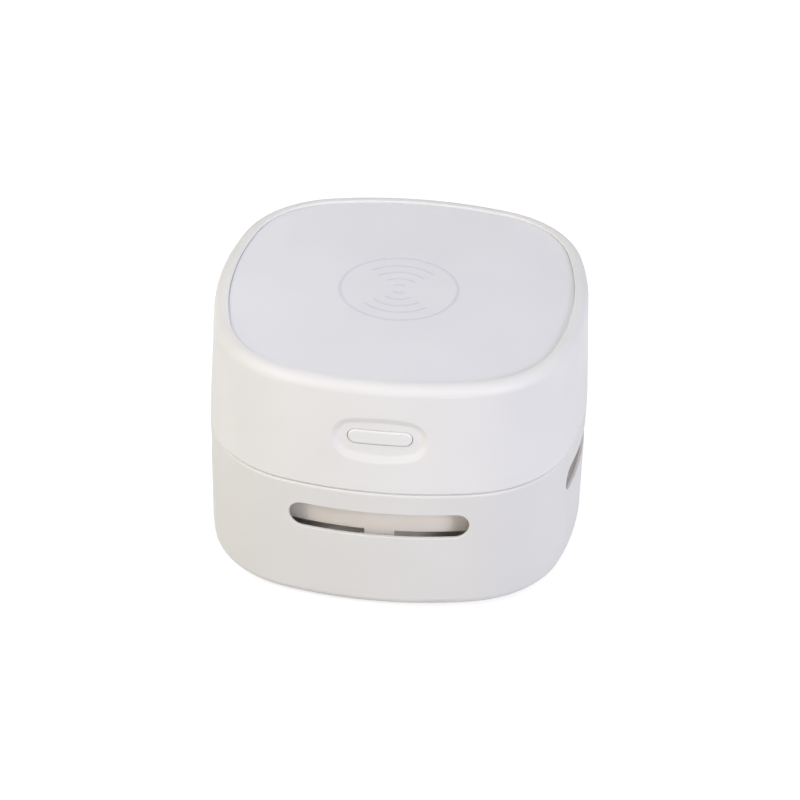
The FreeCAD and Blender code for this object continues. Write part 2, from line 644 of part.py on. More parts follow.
def base_floor():
    floor = slab(BASE_HALF - WALL - FLOOR_CLEARANCE, FLOOR_BOTTOM, FLOOR_TOP)
    seat_radius = CUP_RADIUS + CUP_SEAT_CLEARANCE
    seat = ring_sector(
        seat_radius,
        seat_radius + CUP_SEAT_WALL,
        -CUP_SEAT_HALF_ANGLE,
        CUP_SEAT_HALF_ANGLE,
        FLOOR_TOP - 1,
        FLOOR_TOP + CUP_SEAT_HEIGHT,
    )
    floor = floor.fuse(around(seat))
    floor = floor.cut(inlet_hole(FLOOR_BOTTOM - 1, FLOOR_TOP + 1))
    for side in (1, -1):
        length, width = BRUSH_LENGTH + 2 * BRUSH_CLEARANCE, BRUSH_WIDTH + 2 * BRUSH_CLEARANCE
        seat_top = FLOOR_BOTTOM + BRUSH_BACK
        floor = floor.cut(centred_block(length, width, 0, side * BRUSH_OFFSET, FLOOR_BOTTOM - 1, seat_top))
    for x, y in corners(FOOT_OFFSET):
        floor = floor.cut(disc(FOOT_RADIUS + 0.1, FLOOR_BOTTOM - 1, FLOOR_BOTTOM + FOOT_SEAT, x, y))
    for x, y in corners(BOSS_OFFSET):
        floor = floor.cut(screw_hole(x, y, FLOOR_BOTTOM, FLOOR_TOP, SCREW_SINK))
    return floor.removeSplitter()


def brush_strip(side):
    back_top = FLOOR_BOTTOM + BRUSH_BACK
    return centred_block(BRUSH_LENGTH, BRUSH_WIDTH, 0, side * BRUSH_OFFSET, FLOOR_BOTTOM, back_top)


def bristle_tufts(side):
    """Two staggered rows of tapered tufts under a brush strip."""
    tufts = []
    root = TUFT_RADIUS * TUFT_FLARE
    run = BRUSH_LENGTH - 3 * root
    for i in range(TUFT_COUNT):
        x = run * (i / (TUFT_COUNT - 1) - 0.5)
        stagger = BRUSH_WIDTH / 5 if i % 2 else -BRUSH_WIDTH / 5
        at = V(x, side * BRUSH_OFFSET + stagger, TUFT_CLEARANCE)
        tufts.append(Part.makeCone(TUFT_RADIUS, root, FLOOR_BOTTOM - TUFT_CLEARANCE, at))
    return tufts


def dust_cup():
    cup = disc(CUP_RADIUS, FLOOR_TOP, CUP_TOP)
    cup = cup.fuse(disc(CUP_COLLAR_RADIUS, CUP_COLLAR_BOTTOM, CUP_TOP))
    tab_bottom = CUP_COLLAR_BOTTOM - CUP_TAB_HEIGHT
    tab = block(0, CUP_WING_HALF, -CUP_TAB_WIDTH / 2, CUP_TAB_WIDTH / 2, tab_bottom, SLOT_Z)
    cup = cup.fuse(around(tab.common(slab(CUP_WING_HALF, tab_bottom, SLOT_Z))))
    cup = cup.fuse(collar_wings())
    cup = cup.cut(disc(CUP_RADIUS - CUP_WALL, FLOOR_TOP + CUP_FLOOR, CUP_TOP + 1))
    cup = cup.cut(disc(CUP_COLLAR_RADIUS - CUP_WALL, CUP_COLLAR_BOTTOM + CUP_WALL, CUP_TOP + 1))
    cup = cup.fuse(inlet_hole(FLOOR_TOP, CHIMNEY_TOP, CHIMNEY_WALL))
    cup = cup.cut(inlet_hole(FLOOR_TOP - 1, CHIMNEY_TOP + 1))
    return cup.removeSplitter()


def collar_wings():
    """Thin walls of the collar that stand parallel to the casing behind the air outlets, each with a floor."""
    top = SLOT_Z + SLOT_HEIGHT / 2 + CUP_WING_SPARE
    wings = slab(CUP_WING_HALF, CUP_COLLAR_BOTTOM, top)
    wings = wings.cut(slab(CUP_WING_HALF - CUP_WALL, CUP_COLLAR_BOTTOM + CUP_WALL, top + 1))
    reach = SLOT_LENGTH / 2 + CUP_WING_SPARE
    across = block(-HALF_WIDTH, HALF_WIDTH, -reach, reach, CUP_COLLAR_BOTTOM, top)
    wings = wings.common(across.fuse(around(across, 1, 90.0)))
    return wings.cut(disc(CUP_COLLAR_RADIUS - CUP_WALL / 2, CUP_COLLAR_BOTTOM - 1, top + 1)).Solids


def cup_gasket():
    outer, inner = CUP_COLLAR_RADIUS - GASKET_INSET, CUP_COLLAR_RADIUS - CUP_WALL + GASKET_INSET
    return tube(outer, inner, CUP_TOP, CUP_TOP + GASKET_THICKNESS)


def foot_pads():
    pads = []
    for x, y in corners(FOOT_OFFSET):
        pad = disc(FOOT_RADIUS, 0, FLOOR_BOTTOM + FOOT_SEAT, x, y)
        edge = [e for e in pad.Edges if abs(e.CenterOfMass.z) < 1e-6]
        pads.append(pad.makeFillet(FOOT_ROUND, edge))
    return pads


def base_screws():
    return [screw(x, y, FLOOR_BOTTOM + SCREW_SINK) for x, y in corners(BOSS_OFFSET)]


# ------------------------------------------------------------------ casing of the motor unit


def upper_shell():
    inner_top = upper_half_width(DECK_BOTTOM) - WALL
    ledge = PANEL_HALF - PANEL_LEDGE
    shell = band(
        [
            (HALF_WIDTH, UPPER_BOTTOM, SEAM_ROUND),
            (RIM_HALF, RIM_TOP, RIM_ROUND),
            (PANEL_HALF, RIM_TOP, 0.1 * RIM_ROUND),
            (PANEL_HALF, DECK_TOP, 0),
            (ledge, DECK_TOP, 0),
            (ledge, DECK_BOTTOM, 0),
            (inner_top, DECK_BOTTOM, WALL / 2),
            (HALF_WIDTH - WALL, UPPER_BOTTOM, 0),
        ]
    )
    shell = shell.fuse(slab(ledge + PANEL_LEDGE / 4, DECK_BOTTOM, DECK_TOP))
    wall_half = inner_top + 0.2 * WALL
    bosses = [corner_boss(x, y, wall_half, CHASSIS_TOP, DECK_TOP) for x, y in corners(BOSS_OFFSET)]
    shell = shell.fuse(bosses)
    for x, y in corners(BOSS_OFFSET):
        shell = shell.cut(disc(PILOT_RADIUS, CHASSIS_TOP - 1, CHASSIS_TOP + SCREW_LENGTH, x, y))
    shell = shell.removeSplitter()
    shell = shell.cut(button_dish()).removeSplitter()
    shell = shell.makeFillet(DISH_ROUND, dish_edges(shell))
    shell = shell.cut(button_hole())
    shell = shell.cut(charging_port())
    shell = shell.cut(rod(LAMP_RADIUS + FIT_CLEARANCE, HALF_WIDTH - 2 * WALL, HALF_WIDTH, LAMP_OFFSET, USB_Z))
    return shell.fuse(board_guides()).removeSplitter()


def button_hole():
    length = BUTTON_LENGTH + 2 * BUTTON_CLEARANCE
    height = BUTTON_HEIGHT + 2 * BUTTON_CLEARANCE
    return stadium(length, height, BUTTON_Z, -HALF_WIDTH, -HALF_WIDTH + 3 * WALL)


def charging_port():
    length, height = USB_WIDTH + 2 * USB_CLEARANCE, USB_HEIGHT + 2 * USB_CLEARANCE
    return stadium(length, height, USB_Z, HALF_WIDTH - 2 * WALL, HALF_WIDTH)


def button_dish():
    """The shallow dish round the power button. Its floor is parallel to the casing's surface."""
    slope = DISH_SLOPE / DISH_DEPTH
    reach = DISH_DEPTH + side_sag(DISH_LENGTH / 2) + UPPER_DRAFT * DISH_HEIGHT
    front, back = -upper_half_width(BUTTON_Z) - WALL, -upper_half_width(BUTTON_Z) + reach
    wires = []
    for y, depth in ((front, -WALL), (back, reach)):
        grow = -2 * depth * slope
        wires.append(stadium_wire(DISH_LENGTH + grow, DISH_HEIGHT + grow, y, BUTTON_Z))
    cutter = Part.makeLoft(wires, True, True)
    bottom, top = BUTTON_Z - DISH_HEIGHT, BUTTON_Z + DISH_HEIGHT
    return cutter.cut(upper_form(DISH_DEPTH, bottom, top))


def dish_edges(shell):
    """The edges of the dish's lip and floor."""
    half_length, half_height = DISH_LENGTH / 2 + DISH_ROUND, DISH_HEIGHT / 2 + DISH_ROUND
    found = []
    for edge in shell.Edges:
        box = edge.BoundBox
        in_front = box.YMax < -upper_half_width(BUTTON_Z) + WALL
        in_height = box.ZMin > BUTTON_Z - half_height and box.ZMax < BUTTON_Z + half_height
        in_length = box.XMin > -half_length and box.XMax < half_length
        along = box.XLength > DISH_DEPTH / 2 or box.ZLength > 2 * DISH_DEPTH
        if in_front and in_height and in_length and along:
            found.append(edge)
    return found


def board_guides():
    """Two grooved ribs under the deck that hold the ends of the switch board."""
    front, back = switch_board_front(), switch_board_front() + BOARD_THICKNESS
    low, high = BUTTON_Z - SWITCH_BOARD_HEIGHT / 2, BUTTON_Z + SWITCH_BOARD_HEIGHT / 2
    inner = SWITCH_BOARD_LENGTH / 2 - GUIDE_GRIP
    outer = SWITCH_BOARD_LENGTH / 2 + GUIDE_CLEARANCE + GUIDE_WALL
    rib = block(inner, outer, front - GUIDE_WALL, back + GUIDE_WALL, low, DECK_BOTTOM + DECK_THICKNESS / 2)
    groove = block(
        0,
        outer - GUIDE_WALL,
        front - GUIDE_CLEARANCE / 2,
        back + GUIDE_CLEARANCE / 2,
        low - 1,
        high + GUIDE_CLEARANCE,
    )
    rib = rib.cut(groove)
    return around(rib.mirror(V(), V(1, 0, 0)), 1) + [rib]


def top_panel():
    panel = slab(PANEL_HALF - PANEL_GAP, DECK_TOP, PANEL_TOP)
    rim = [e for e in panel.Edges if abs(e.BoundBox.ZMin - PANEL_TOP) < 1e-6]
    panel = panel.makeFillet(PANEL_ROUND, rim)
    for line in emblem_lines(PANEL_TOP - EMBLEM_DEPTH, PANEL_TOP + 1):
        panel = panel.cut(line)
    return panel


def emblem_lines(bottom, top):
    """A ring with two opposite fans of arcs inside it."""
    half = EMBLEM_LINE / 2
    lines = [tube(EMBLEM_RING_RADIUS + half, EMBLEM_RING_RADIUS - half, bottom, top)]
    for middle in (90, 270):
        start, end = middle - EMBLEM_FAN_HALF_ANGLE, middle + EMBLEM_FAN_HALF_ANGLE
        for radius in EMBLEM_ARC_RADII:
            lines.append(ring_sector(radius - half, radius + half, start, end, bottom, top))
    for line in lines:
        line.translate(V(*EMBLEM_SHIFT, 0))
    return lines


def emblem_inlay():
    """Thin coloured fill in the bottom of the engraved lines."""
    bottom = PANEL_TOP - EMBLEM_DEPTH
    return emblem_lines(bottom, bottom + EMBLEM_INK)


# ------------------------------------------------------------------ power button and switch


def flange_front():
    """The button's flange lies behind the casing's wall, clear of it by FLANGE_CLEARANCE."""
    top = BUTTON_Z + BUTTON_HEIGHT / 2 + BUTTON_FLANGE
    sag = side_sag(BUTTON_LENGTH / 2 + BUTTON_FLANGE)
    return -(upper_half_width(top) - WALL) + sag + FLANGE_CLEARANCE


def flange_back():
    return flange_front() + BUTTON_FLANGE_THICKNESS


def switch_front():
    return flange_back() + SPRING_SPACE


def switch_board_front():
    return switch_front() + SWITCH_DEPTH


def power_button():
    inside_flange = flange_front() + BUTTON_FLANGE_THICKNESS / 2
    bar = stadium(BUTTON_LENGTH, BUTTON_HEIGHT, BUTTON_Z, -HALF_WIDTH, inside_flange)
    face_inset = DISH_DEPTH - BUTTON_PROUD
    cap = bar.common(upper_form(face_inset, BUTTON_Z - BUTTON_HEIGHT, BUTTON_Z + BUTTON_HEIGHT))
    front = -(upper_half_width(BUTTON_Z) - face_inset) + side_sag(BUTTON_LENGTH / 2) + BUTTON_ROUND
    rim = []
    for edge in cap.Edges:
        middle = edge.valueAt((edge.FirstParameter + edge.LastParameter) / 2)
        if middle.y < front and edge.Length > BUTTON_HEIGHT / 2:
            rim.append(edge)
    cap = cap.makeFillet(BUTTON_ROUND, rim)
    length, height = BUTTON_LENGTH + 2 * BUTTON_FLANGE, BUTTON_HEIGHT + 2 * BUTTON_FLANGE
    return cap.fuse(stadium(length, height, BUTTON_Z, flange_front(), flange_back())).removeSplitter()


def switch_stem():
    return rod(STEM_RADIUS, flange_back(), switch_front() + STEM_REACH, 0, BUTTON_Z)


def switch_body():
    front = switch_front()
    low, high = BUTTON_Z - SWITCH_HEIGHT / 2, BUTTON_Z + SWITCH_HEIGHT / 2
    body = block(-SWITCH_LENGTH / 2, SWITCH_LENGTH / 2, front, switch_board_front(), low, high)
    edges = [e for e in body.Edges if abs(e.CenterOfMass.y - front) < 1e-6]
    body = body.makeChamfer(SWITCH_CHAMFER, edges)
    well_end = front + STEM_REACH + BUTTON_TRAVEL + STEM_END_CLEARANCE
    return body.cut(rod(STEM_RADIUS + STEM_CLEARANCE, front - 1, well_end, 0, BUTTON_Z))


def switch_board():
    half = SWITCH_BOARD_LENGTH / 2
    front = switch_board_front()
    low, high = BUTTON_Z - SWITCH_BOARD_HEIGHT / 2, BUTTON_Z + SWITCH_BOARD_HEIGHT / 2
    return block(-half, half, front, front + BOARD_THICKNESS, low, high)


def button_spring():
    """A compression spring round the stem, from the switch to the button's flange."""
    margin = 0.6 * SPRING_WIRE + SPRING_CLEARANCE
    start, length = flange_back() + margin, SPRING_SPACE - 2 * margin
    steps = int(SPRING_TURNS * SPRING_POINTS)
    points = []
    for i in range(steps + 1):
        angle = 2 * math.pi * i / SPRING_POINTS
        x, z = SPRING_RADIUS * math.cos(angle), SPRING_RADIUS * math.sin(angle)
        points.append(V(x, start + length * i / steps, BUTTON_Z + z))
    return wire(points, SPRING_WIRE / 2)


# ------------------------------------------------------------------ chassis, filter and fan


def chassis():
    plate = disc(CHASSIS_RADIUS, CHASSIS_BOTTOM, CHASSIS_TOP)
    reach = BOSS_OFFSET * math.sqrt(2)
    for x, y in corners(BOSS_OFFSET):
        web = centred_block(reach, 2 * EAR_RADIUS, reach / 2, 0, CHASSIS_BOTTOM, CHASSIS_TOP)
        web.rotate(V(), UP, math.degrees(math.atan2(y, x)))
        plate = plate.fuse([web, disc(EAR_RADIUS, CHASSIS_BOTTOM, CHASSIS_TOP, x, y)])
    plate = plate.fuse(tube(NECK_RADIUS, NECK_RADIUS - NECK_WALL, NECK_BOTTOM, CHASSIS_TOP))
    plate = plate.cut(disc(EYE_RADIUS, CHASSIS_BOTTOM - 1, CHASSIS_TOP + 1))
    for x, y in corners(BOSS_OFFSET) + housing_boss_places():
        plate = plate.cut(screw_hole(x, y, CHASSIS_BOTTOM, CHASSIS_TOP, SCREW_SINK))
    return plate.removeSplitter()


def housing_boss_places():
    return [turned(HOUSING_BOSS_OFFSET, 0, angle) for angle in (0, 90, 180, 270)]


def chassis_screws():
    return [screw(x, y, CHASSIS_BOTTOM + SCREW_SINK) for x, y in corners(BOSS_OFFSET)]


def housing_screws():
    seat = CHASSIS_BOTTOM + SCREW_SINK
    return [screw(x, y, seat, length=HOUSING_SCREW_LENGTH) for x, y in housing_boss_places()]


def filter_frame():
    """A round basket: a ring in the neck, a finger flange below it and crossed ribs that carry the filter."""
    inner = FILTER_RADIUS - FILTER_WALL
    frame = tube(FILTER_RADIUS, inner, FILTER_BOTTOM, CHASSIS_BOTTOM - FILTER_CLEARANCE)
    frame = frame.fuse(tube(NECK_RADIUS, inner, FILTER_BOTTOM, NECK_BOTTOM - FILTER_CLEARANCE))
    rib_top = FILTER_BOTTOM + FILTER_RIB_HEIGHT
    for turn in (0, 60, 120):
        rib = centred_block(FILTER_RADIUS + inner, FILTER_RIB_WIDTH, 0, 0, FILTER_BOTTOM, rib_top)
        rib.rotate(V(), UP, turn)
        frame = frame.fuse(rib)
    ring_outer = (inner + FILTER_RIB_WIDTH) / 2
    return frame.fuse(tube(ring_outer, ring_outer - FILTER_RIB_WIDTH, FILTER_BOTTOM, rib_top)).removeSplitter()


def filter_pleats():
    """Folded filter paper on the ribs of the frame."""
    radius = FILTER_RADIUS - FILTER_WALL - PLEAT_CLEARANCE
    bottom = FILTER_BOTTOM + FILTER_RIB_HEIGHT
    top = CHASSIS_BOTTOM - PLEAT_SHEET
    pitch = 2 * radius / PLEAT_COUNT
    lower, upper = [], []
    for i in range(2 * PLEAT_COUNT + 1):
        x = -radius + i * pitch / 2
        z = top - PLEAT_SHEET if i % 2 else bottom
        lower.append(V(x, -radius, z))
        upper.append(V(x, -radius, z + PLEAT_SHEET))
    folds = Part.makePolygon(lower + upper[::-1] + [lower[0]])
    sheet = Part.Face(folds).extrude(V(0, 2 * radius, 0))
    return sheet.common(disc(radius, bottom - 1, top + 1))


def fan_housing():
    """Round cover of the fan. Four windows let the air out towards the corners of the casing."""
    housing = disc(HOUSING_RADIUS, CHASSIS_TOP, ROOF_TOP)
    for x, y in housing_boss_places():
        housing = housing.fuse(disc(HOUSING_BOSS_RADIUS, CHASSIS_TOP, CHASSIS_TOP + HOUSING_BOSS_HEIGHT, x, y))
    housing = housing.cut(disc(HOUSING_RADIUS - HOUSING_WALL, CHASSIS_TOP - 1, ROOF_BOTTOM))
    low, high = CHASSIS_TOP + HOUSING_WINDOW_EDGE, ROOF_BOTTOM - HOUSING_WINDOW_EDGE
    window = centred_block(HOUSING_RADIUS, HOUSING_WINDOW, HOUSING_RADIUS, 0, low, high)
    for cutter in around(window, 4, 45.0):
        housing = housing.cut(cutter)
    pilot_end = CHASSIS_BOTTOM + SCREW_SINK + HOUSING_SCREW_LENGTH + PILOT_RADIUS / 2
    for x, y in housing_boss_places():
        housing = housing.cut(disc(PILOT_RADIUS, CHASSIS_TOP - 1, pilot_end, x, y))
    for x, y in board_screw_places():
        housing = housing.fuse(disc(HOUSING_BOSS_RADIUS, ROOF_TOP - 1, BOARD_BOTTOM, x, y))
        housing = housing.cut(disc(PILOT_RADIUS, ROOF_BOTTOM + 0.2, BOARD_BOTTOM + 1, x, y))
    housing = housing.cut(disc(MOTOR_NOSE_RADIUS + FIT_CLEARANCE, ROOF_BOTTOM - 1, ROOF_TOP + 1))
    for x in (MOTOR_SCREW_OFFSET, -MOTOR_SCREW_OFFSET):
        housing = housing.cut(screw_hole(x, 0, ROOF_BOTTOM, ROOF_TOP, SCREW_SINK))
    return housing.removeSplitter()


def impeller():
    """Backward-curved blades under a disc, open downwards."""
    blade_top = IMPELLER_TOP - IMPELLER_BACK
    wheel = disc(IMPELLER_RADIUS, blade_top, IMPELLER_TOP)
    wheel = wheel.fuse(disc(HUB_RADIUS, IMPELLER_BOTTOM, IMPELLER_TOP))
    span = IMPELLER_RADIUS - BLADE_INNER
    lean = math.degrees(2 * math.asin(span / (2 * BLADE_CURVE)))
    blade = ring_sector(
        BLADE_CURVE - BLADE_WALL / 2,
        BLADE_CURVE + BLADE_WALL / 2,
        270.0,
        270.0 + lean,
        IMPELLER_BOTTOM,
        blade_top + IMPELLER_BACK / 4,
        BLADE_INNER,
        BLADE_CURVE,
    )
    blade = blade.common(disc(IMPELLER_RADIUS, IMPELLER_BOTTOM - 1, IMPELLER_TOP))
    wheel = wheel.fuse(around(blade, IMPELLER_BLADES))
    return wheel.cut(disc(SHAFT_RADIUS, IMPELLER_BOTTOM - 1, IMPELLER_TOP + 1)).removeSplitter()


# ------------------------------------------------------------------ motor


def motor_can():
    can = disc(MOTOR_RADIUS, ROOF_TOP, CAP_BOTTOM)
    can = can.cut(disc(MOTOR_RADIUS - MOTOR_CAN_WALL, ROOF_TOP + MOTOR_CAN_WALL, MOTOR_TOP))
    can = can.fuse(disc(MOTOR_NOSE_RADIUS, ROOF_TOP - MOTOR_NOSE_HEIGHT, ROOF_TOP + MOTOR_CAN_WALL))
    can = can.cut(disc(BEARING_RADIUS, ROOF_BOTTOM, MOTOR_TOP))
    for x in (MOTOR_SCREW_OFFSET, -MOTOR_SCREW_OFFSET):
        can = can.cut(disc(PILOT_RADIUS, ROOF_TOP - 1, ROOF_TOP + 2 * MOTOR_CAN_WALL, x, 0))
    return can.removeSplitter()


def motor_cap():
    spigot = MOTOR_RADIUS - MOTOR_CAN_WALL - FIT_CLEARANCE
    cap = disc(MOTOR_RADIUS, CAP_BOTTOM, MOTOR_TOP)
    cap = cap.fuse(tube(spigot, spigot - MOTOR_CAN_WALL, CAP_BOTTOM - MOTOR_CAN_WALL, CAP_BOTTOM + 0.1))
    return cap.cut(disc(BEARING_RADIUS, CAP_BOTTOM - 1, cap_bore_end())).removeSplitter()


def cap_bore_end():
    return MOTOR_TOP - MOTOR_CAP_THICKNESS / 2


def motor_terminals():
    """Two tabs on the side of the motor, under its cap."""
    tabs = []
    for x in terminal_places():
        tab = block(x - TERMINAL_WIDTH / 2, x + TERMINAL_WIDTH / 2, 0, terminal_end(), *terminal_levels())
        tabs.append(tab.cut(disc(MOTOR_RADIUS, ROOF_TOP, MOTOR_TOP)))
    return tabs


def terminal_places():
    return plug_middle()[0] - TERMINAL_SPACING / 2, plug_middle()[0] + TERMINAL_SPACING / 2


def terminal_levels():
    top = CAP_BOTTOM - TERMINAL_DROP
    return top - TERMINAL_THICKNESS, top


def terminal_end():
    return MOTOR_RADIUS + TERMINAL_REACH


def motor_magnets():
    low = ROOF_TOP + MOTOR_CAN_WALL + MAGNET_END_GAP
    high = CAP_BOTTOM - MOTOR_CAN_WALL - MAGNET_END_GAP
    inner = MAGNET_RADIUS - MAGNET_THICKNESS
    magnet = ring_sector(inner, MAGNET_RADIUS, -MAGNET_HALF_ANGLE, MAGNET_HALF_ANGLE, low, high)
    return around(magnet, 2)


def bearings():
    """A sintered bush in the motor's nose and another in its cap."""
    outer, inner = BEARING_RADIUS, SHAFT_RADIUS + SHAFT_CLEARANCE
    low = ROOF_TOP - MOTOR_NOSE_HEIGHT
    return [
        tube(outer, inner, low, low + BEARING_HEIGHT),
        tube(outer, inner, cap_bore_end() - BEARING_HEIGHT, cap_bore_end()),
    ]


def armature_levels():
    low = ROOF_TOP + MOTOR_CAN_WALL + ARMATURE_END_GAP + COIL_WALL
    return low, cap_bore_end() - BEARING_HEIGHT - ARMATURE_END_GAP - COMMUTATOR_HEIGHT


def armature_core():
    """Three-pole stack of laminations on the shaft."""
    low, high = armature_levels()
    core = disc(BEARING_RADIUS, low, high)
    shoe_inner = ARMATURE_RADIUS - POLE_SHOE
    arm = block(0, ARMATURE_RADIUS - POLE_SHOE / 2, -POLE_WIDTH / 2, POLE_WIDTH / 2, low, high)
    shoe = ring_sector(shoe_inner, ARMATURE_RADIUS, -50, 50, low, high)
    core = core.fuse(around(arm, 3)).fuse(around(shoe, 3))
    return core.cut(disc(SHAFT_RADIUS, low - 1, high + 1)).removeSplitter()


def armature_coils():
    low, high = armature_levels()
    middle = (BEARING_RADIUS + ARMATURE_RADIUS - POLE_SHOE) / 2
    width = POLE_WIDTH + 2 * COIL_WALL
    coil = centred_block(COIL_LENGTH, width, middle, 0, low - COIL_WALL, high + COIL_WALL)
    edges = [e for e in coil.Edges if e.BoundBox.XLength > COIL_LENGTH / 2]
    coil = coil.makeFillet(COIL_WALL / 2, edges)
    return around(coil.cut(centred_block(2 * COIL_LENGTH, POLE_WIDTH, middle, 0, low, high)), 3)


def commutator():
    low = armature_levels()[1]
    return tube(COMMUTATOR_RADIUS, SHAFT_RADIUS, low, low + COMMUTATOR_HEIGHT)


def motor_shaft():
    return disc(SHAFT_RADIUS, IMPELLER_BOTTOM, cap_bore_end() - FIT_CLEARANCE)


def motor_screws():
    seat = ROOF_BOTTOM + SCREW_SINK
    return [screw(side * MOTOR_SCREW_OFFSET, 0, seat, length=MOTOR_SCREW_LENGTH) for side in (1, -1)]


# ------------------------------------------------------------------ electronics


def battery():
    half = BATTERY_LENGTH / 2
    cell = block(BATTERY_LEFT, BATTERY_LEFT + BATTERY_WIDTH, -half, half, BATTERY_BOTTOM, BATTERY_TOP)
    limit = 0.45 * (BATTERY_TOP - BATTERY_BOTTOM)
    return cell.makeFillet(min(BATTERY_ROUND, limit), [e for e in cell.Edges if e.BoundBox.YLength > half])


def battery_cradle():
    tray = block(CRADLE_LEFT, CRADLE_RIGHT, -CRADLE_HALF, CRADLE_HALF, ROOF_TOP, ROOF_TOP + CRADLE_HEIGHT)
    left, right, half = CRADLE_LEFT + CRADLE_WALL, CRADLE_RIGHT - CRADLE_WALL, CRADLE_HALF - CRADLE_WALL
    return tray.cut(block(left, right, -half, half, BATTERY_BOTTOM, DECK_BOTTOM))


def board_screw_places():
    y = BOARD_FRONT + BOARD_SCREW_INSET
    return [(BOARD_LEFT + BOARD_SCREW_INSET, y), (BOARD_RIGHT - BOARD_SCREW_INSET, y)]


def main_board():
    board = block(BOARD_LEFT, BOARD_RIGHT, BOARD_FRONT, BOARD_BACK, BOARD_BOTTOM, BOARD_TOP)
    half = USB_WIDTH / 2 + BOARD_TONGUE_MARGIN
    back = upper_half_width(USB_Z) - WALL - BOARD_WALL_GAP
    board = board.fuse(block(-half, half, BOARD_BACK - 1, back, BOARD_BOTTOM, BOARD_TOP))
    for x, y in board_screw_places():
        board = board.cut(disc(SCREW_SHANK_RADIUS + SCREW_CLEARANCE, BOARD_BOTTOM - 1, BOARD_TOP + 1, x, y))
    return board.removeSplitter()


def plug_middle():
    """Where the motor's plug stands on the main board."""
    return BOARD_LEFT + BOARD_LENGTH / 2, BOARD_FRONT + PLUG_DEPTH / 2 + PLUG_GAP


def board_parts():
    """Motor plug, charger chip, driver chip, choke, capacitor and charging diode on the main board."""
    top = BOARD_TOP
    x, y = BOARD_LEFT + BOARD_LENGTH / 2, BOARD_FRONT + BOARD_WIDTH / 2
    choke_x, choke_y = BOARD_LEFT + CHOKE_SIDE_INSET, BOARD_BACK - CHOKE_BACK_INSET
    charger_x = choke_x + CHOKE_RADIUS + CHOKE_GAP + CHARGER_SIZE / 2
    shift_x, shift_y = CAPACITOR_SHIFT
    diode_left, diode_back = LAMP_OFFSET - DIODE_WIDTH / 2, lamp_front() - DIODE_GAP
    diode_top = USB_Z + LAMP_RADIUS
    return [
        centred_block(PLUG_LENGTH, PLUG_DEPTH, *plug_middle(), top, top + PLUG_HEIGHT),
        centred_block(CHARGER_SIZE, CHARGER_SIZE, charger_x, y + CHARGER_SHIFT, top, top + CHARGER_HEIGHT),
        centred_block(DRIVER_SIZE, DRIVER_SIZE, x + DRIVER_SHIFT, y, top, top + DRIVER_HEIGHT),
        disc(CHOKE_RADIUS, top, top + CHOKE_HEIGHT, choke_x, choke_y),
        disc(CAPACITOR_RADIUS, top, top + CAPACITOR_HEIGHT, x + shift_x, y + shift_y),
        block(diode_left, diode_left + DIODE_WIDTH, diode_back - DIODE_DEPTH, diode_back, top, diode_top),
    ]


def board_screws():
    return [screw(x, y, BOARD_TOP, up=False, length=BOARD_SCREW_LENGTH) for x, y in board_screw_places()]


def usb_mouth():
    return upper_half_width(USB_Z) - USB_SINK


def usb_socket():
    mouth, back = usb_mouth(), usb_mouth() - USB_LENGTH
    outer = stadium(USB_WIDTH, USB_HEIGHT, USB_Z, back, mouth)
    length, height = USB_WIDTH - 2 * USB_WALL, USB_HEIGHT - 2 * USB_WALL
    return outer.cut(stadium(length, height, USB_Z, back + USB_BACK_WALL, mouth + 1))


def usb_tongue():
    front, back = usb_mouth() - USB_LENGTH + USB_BACK_WALL, usb_mouth() - USB_BACK_WALL
    half_x, half_z = USB_TONGUE_WIDTH / 2, USB_TONGUE_THICKNESS / 2
    return block(-half_x, half_x, front, back, USB_Z - half_z, USB_Z + half_z)


def lamp_front():
    return upper_half_width(USB_Z) - side_sag(LAMP_OFFSET) - LAMP_SINK - LAMP_LENGTH


def charge_lamp():
    """Clear rod that carries the charging light through the back of the casing."""
    return rod(LAMP_RADIUS, lamp_front(), lamp_front() + LAMP_LENGTH, LAMP_OFFSET, USB_Z)


def battery_leads():
    """Two wires from the end of the battery round the cradle to the edge of the main board."""
    end = BATTERY_LENGTH / 2
    level = BATTERY_TOP - 2 * LEAD_RADIUS
    landing = BOARD_RIGHT - BATTERY_LEAD_INSET
    leads = []
    for i in range(2):
        x = BATTERY_LEFT + BATTERY_LEAD_START + BATTERY_LEAD_SPACING * i
        y = end + CRADLE_WALL + BATTERY_LEAD_REACH + BATTERY_LEAD_STEP * i
        back = y + BATTERY_LEAD_SLANT
        low = BOARD_TOP + BATTERY_LEAD_RISE - BATTERY_LEAD_NEST * i
        route = [V(x, end, level), V(x, y, level), V(landing, back, low), V(landing, back, BOARD_TOP)]
        leads.append(wire(route))
    return leads


def motor_leads():
    _, y = plug_middle()
    level = sum(terminal_levels()) / 2
    plug_top = BOARD_TOP + PLUG_HEIGHT
    leads = []
    for x in terminal_places():
        leads.append(wire([V(x, terminal_end(), level), V(x, y, level), V(x, y, plug_top)]))
    return leads


def switch_leads():
    """Two wires from the switch board round the free side of the motor to the main board."""
    back = switch_board_front() + BOARD_THICKNESS
    leads = []
    for i in range(2):
        z = BUTTON_Z + 2.6 - 1.6 * i
        left = -MOTOR_RADIUS - 7.0 - 1.6 * i
        route = [
            V(-6.5, back, z),
            V(-6.5, back + 4.0, z),
            V(left + 5.6, back + 10.5, BUTTON_Z + 3.4),
            V(left - 0.6, -8.0, BUTTON_Z + 4.0),
            V(left, 4.0, BUTTON_Z + 4.4),
            V(left + 1.6, BOARD_FRONT + 1.5, BUTTON_Z + 4.0),
            V(left + 5.5, BOARD_FRONT + 8.2, BUTTON_Z + 3.4),
            V(left + 5.5, BOARD_FRONT + 8.2, BOARD_TOP),
        ]
        leads.append(wire(route))
    return leads


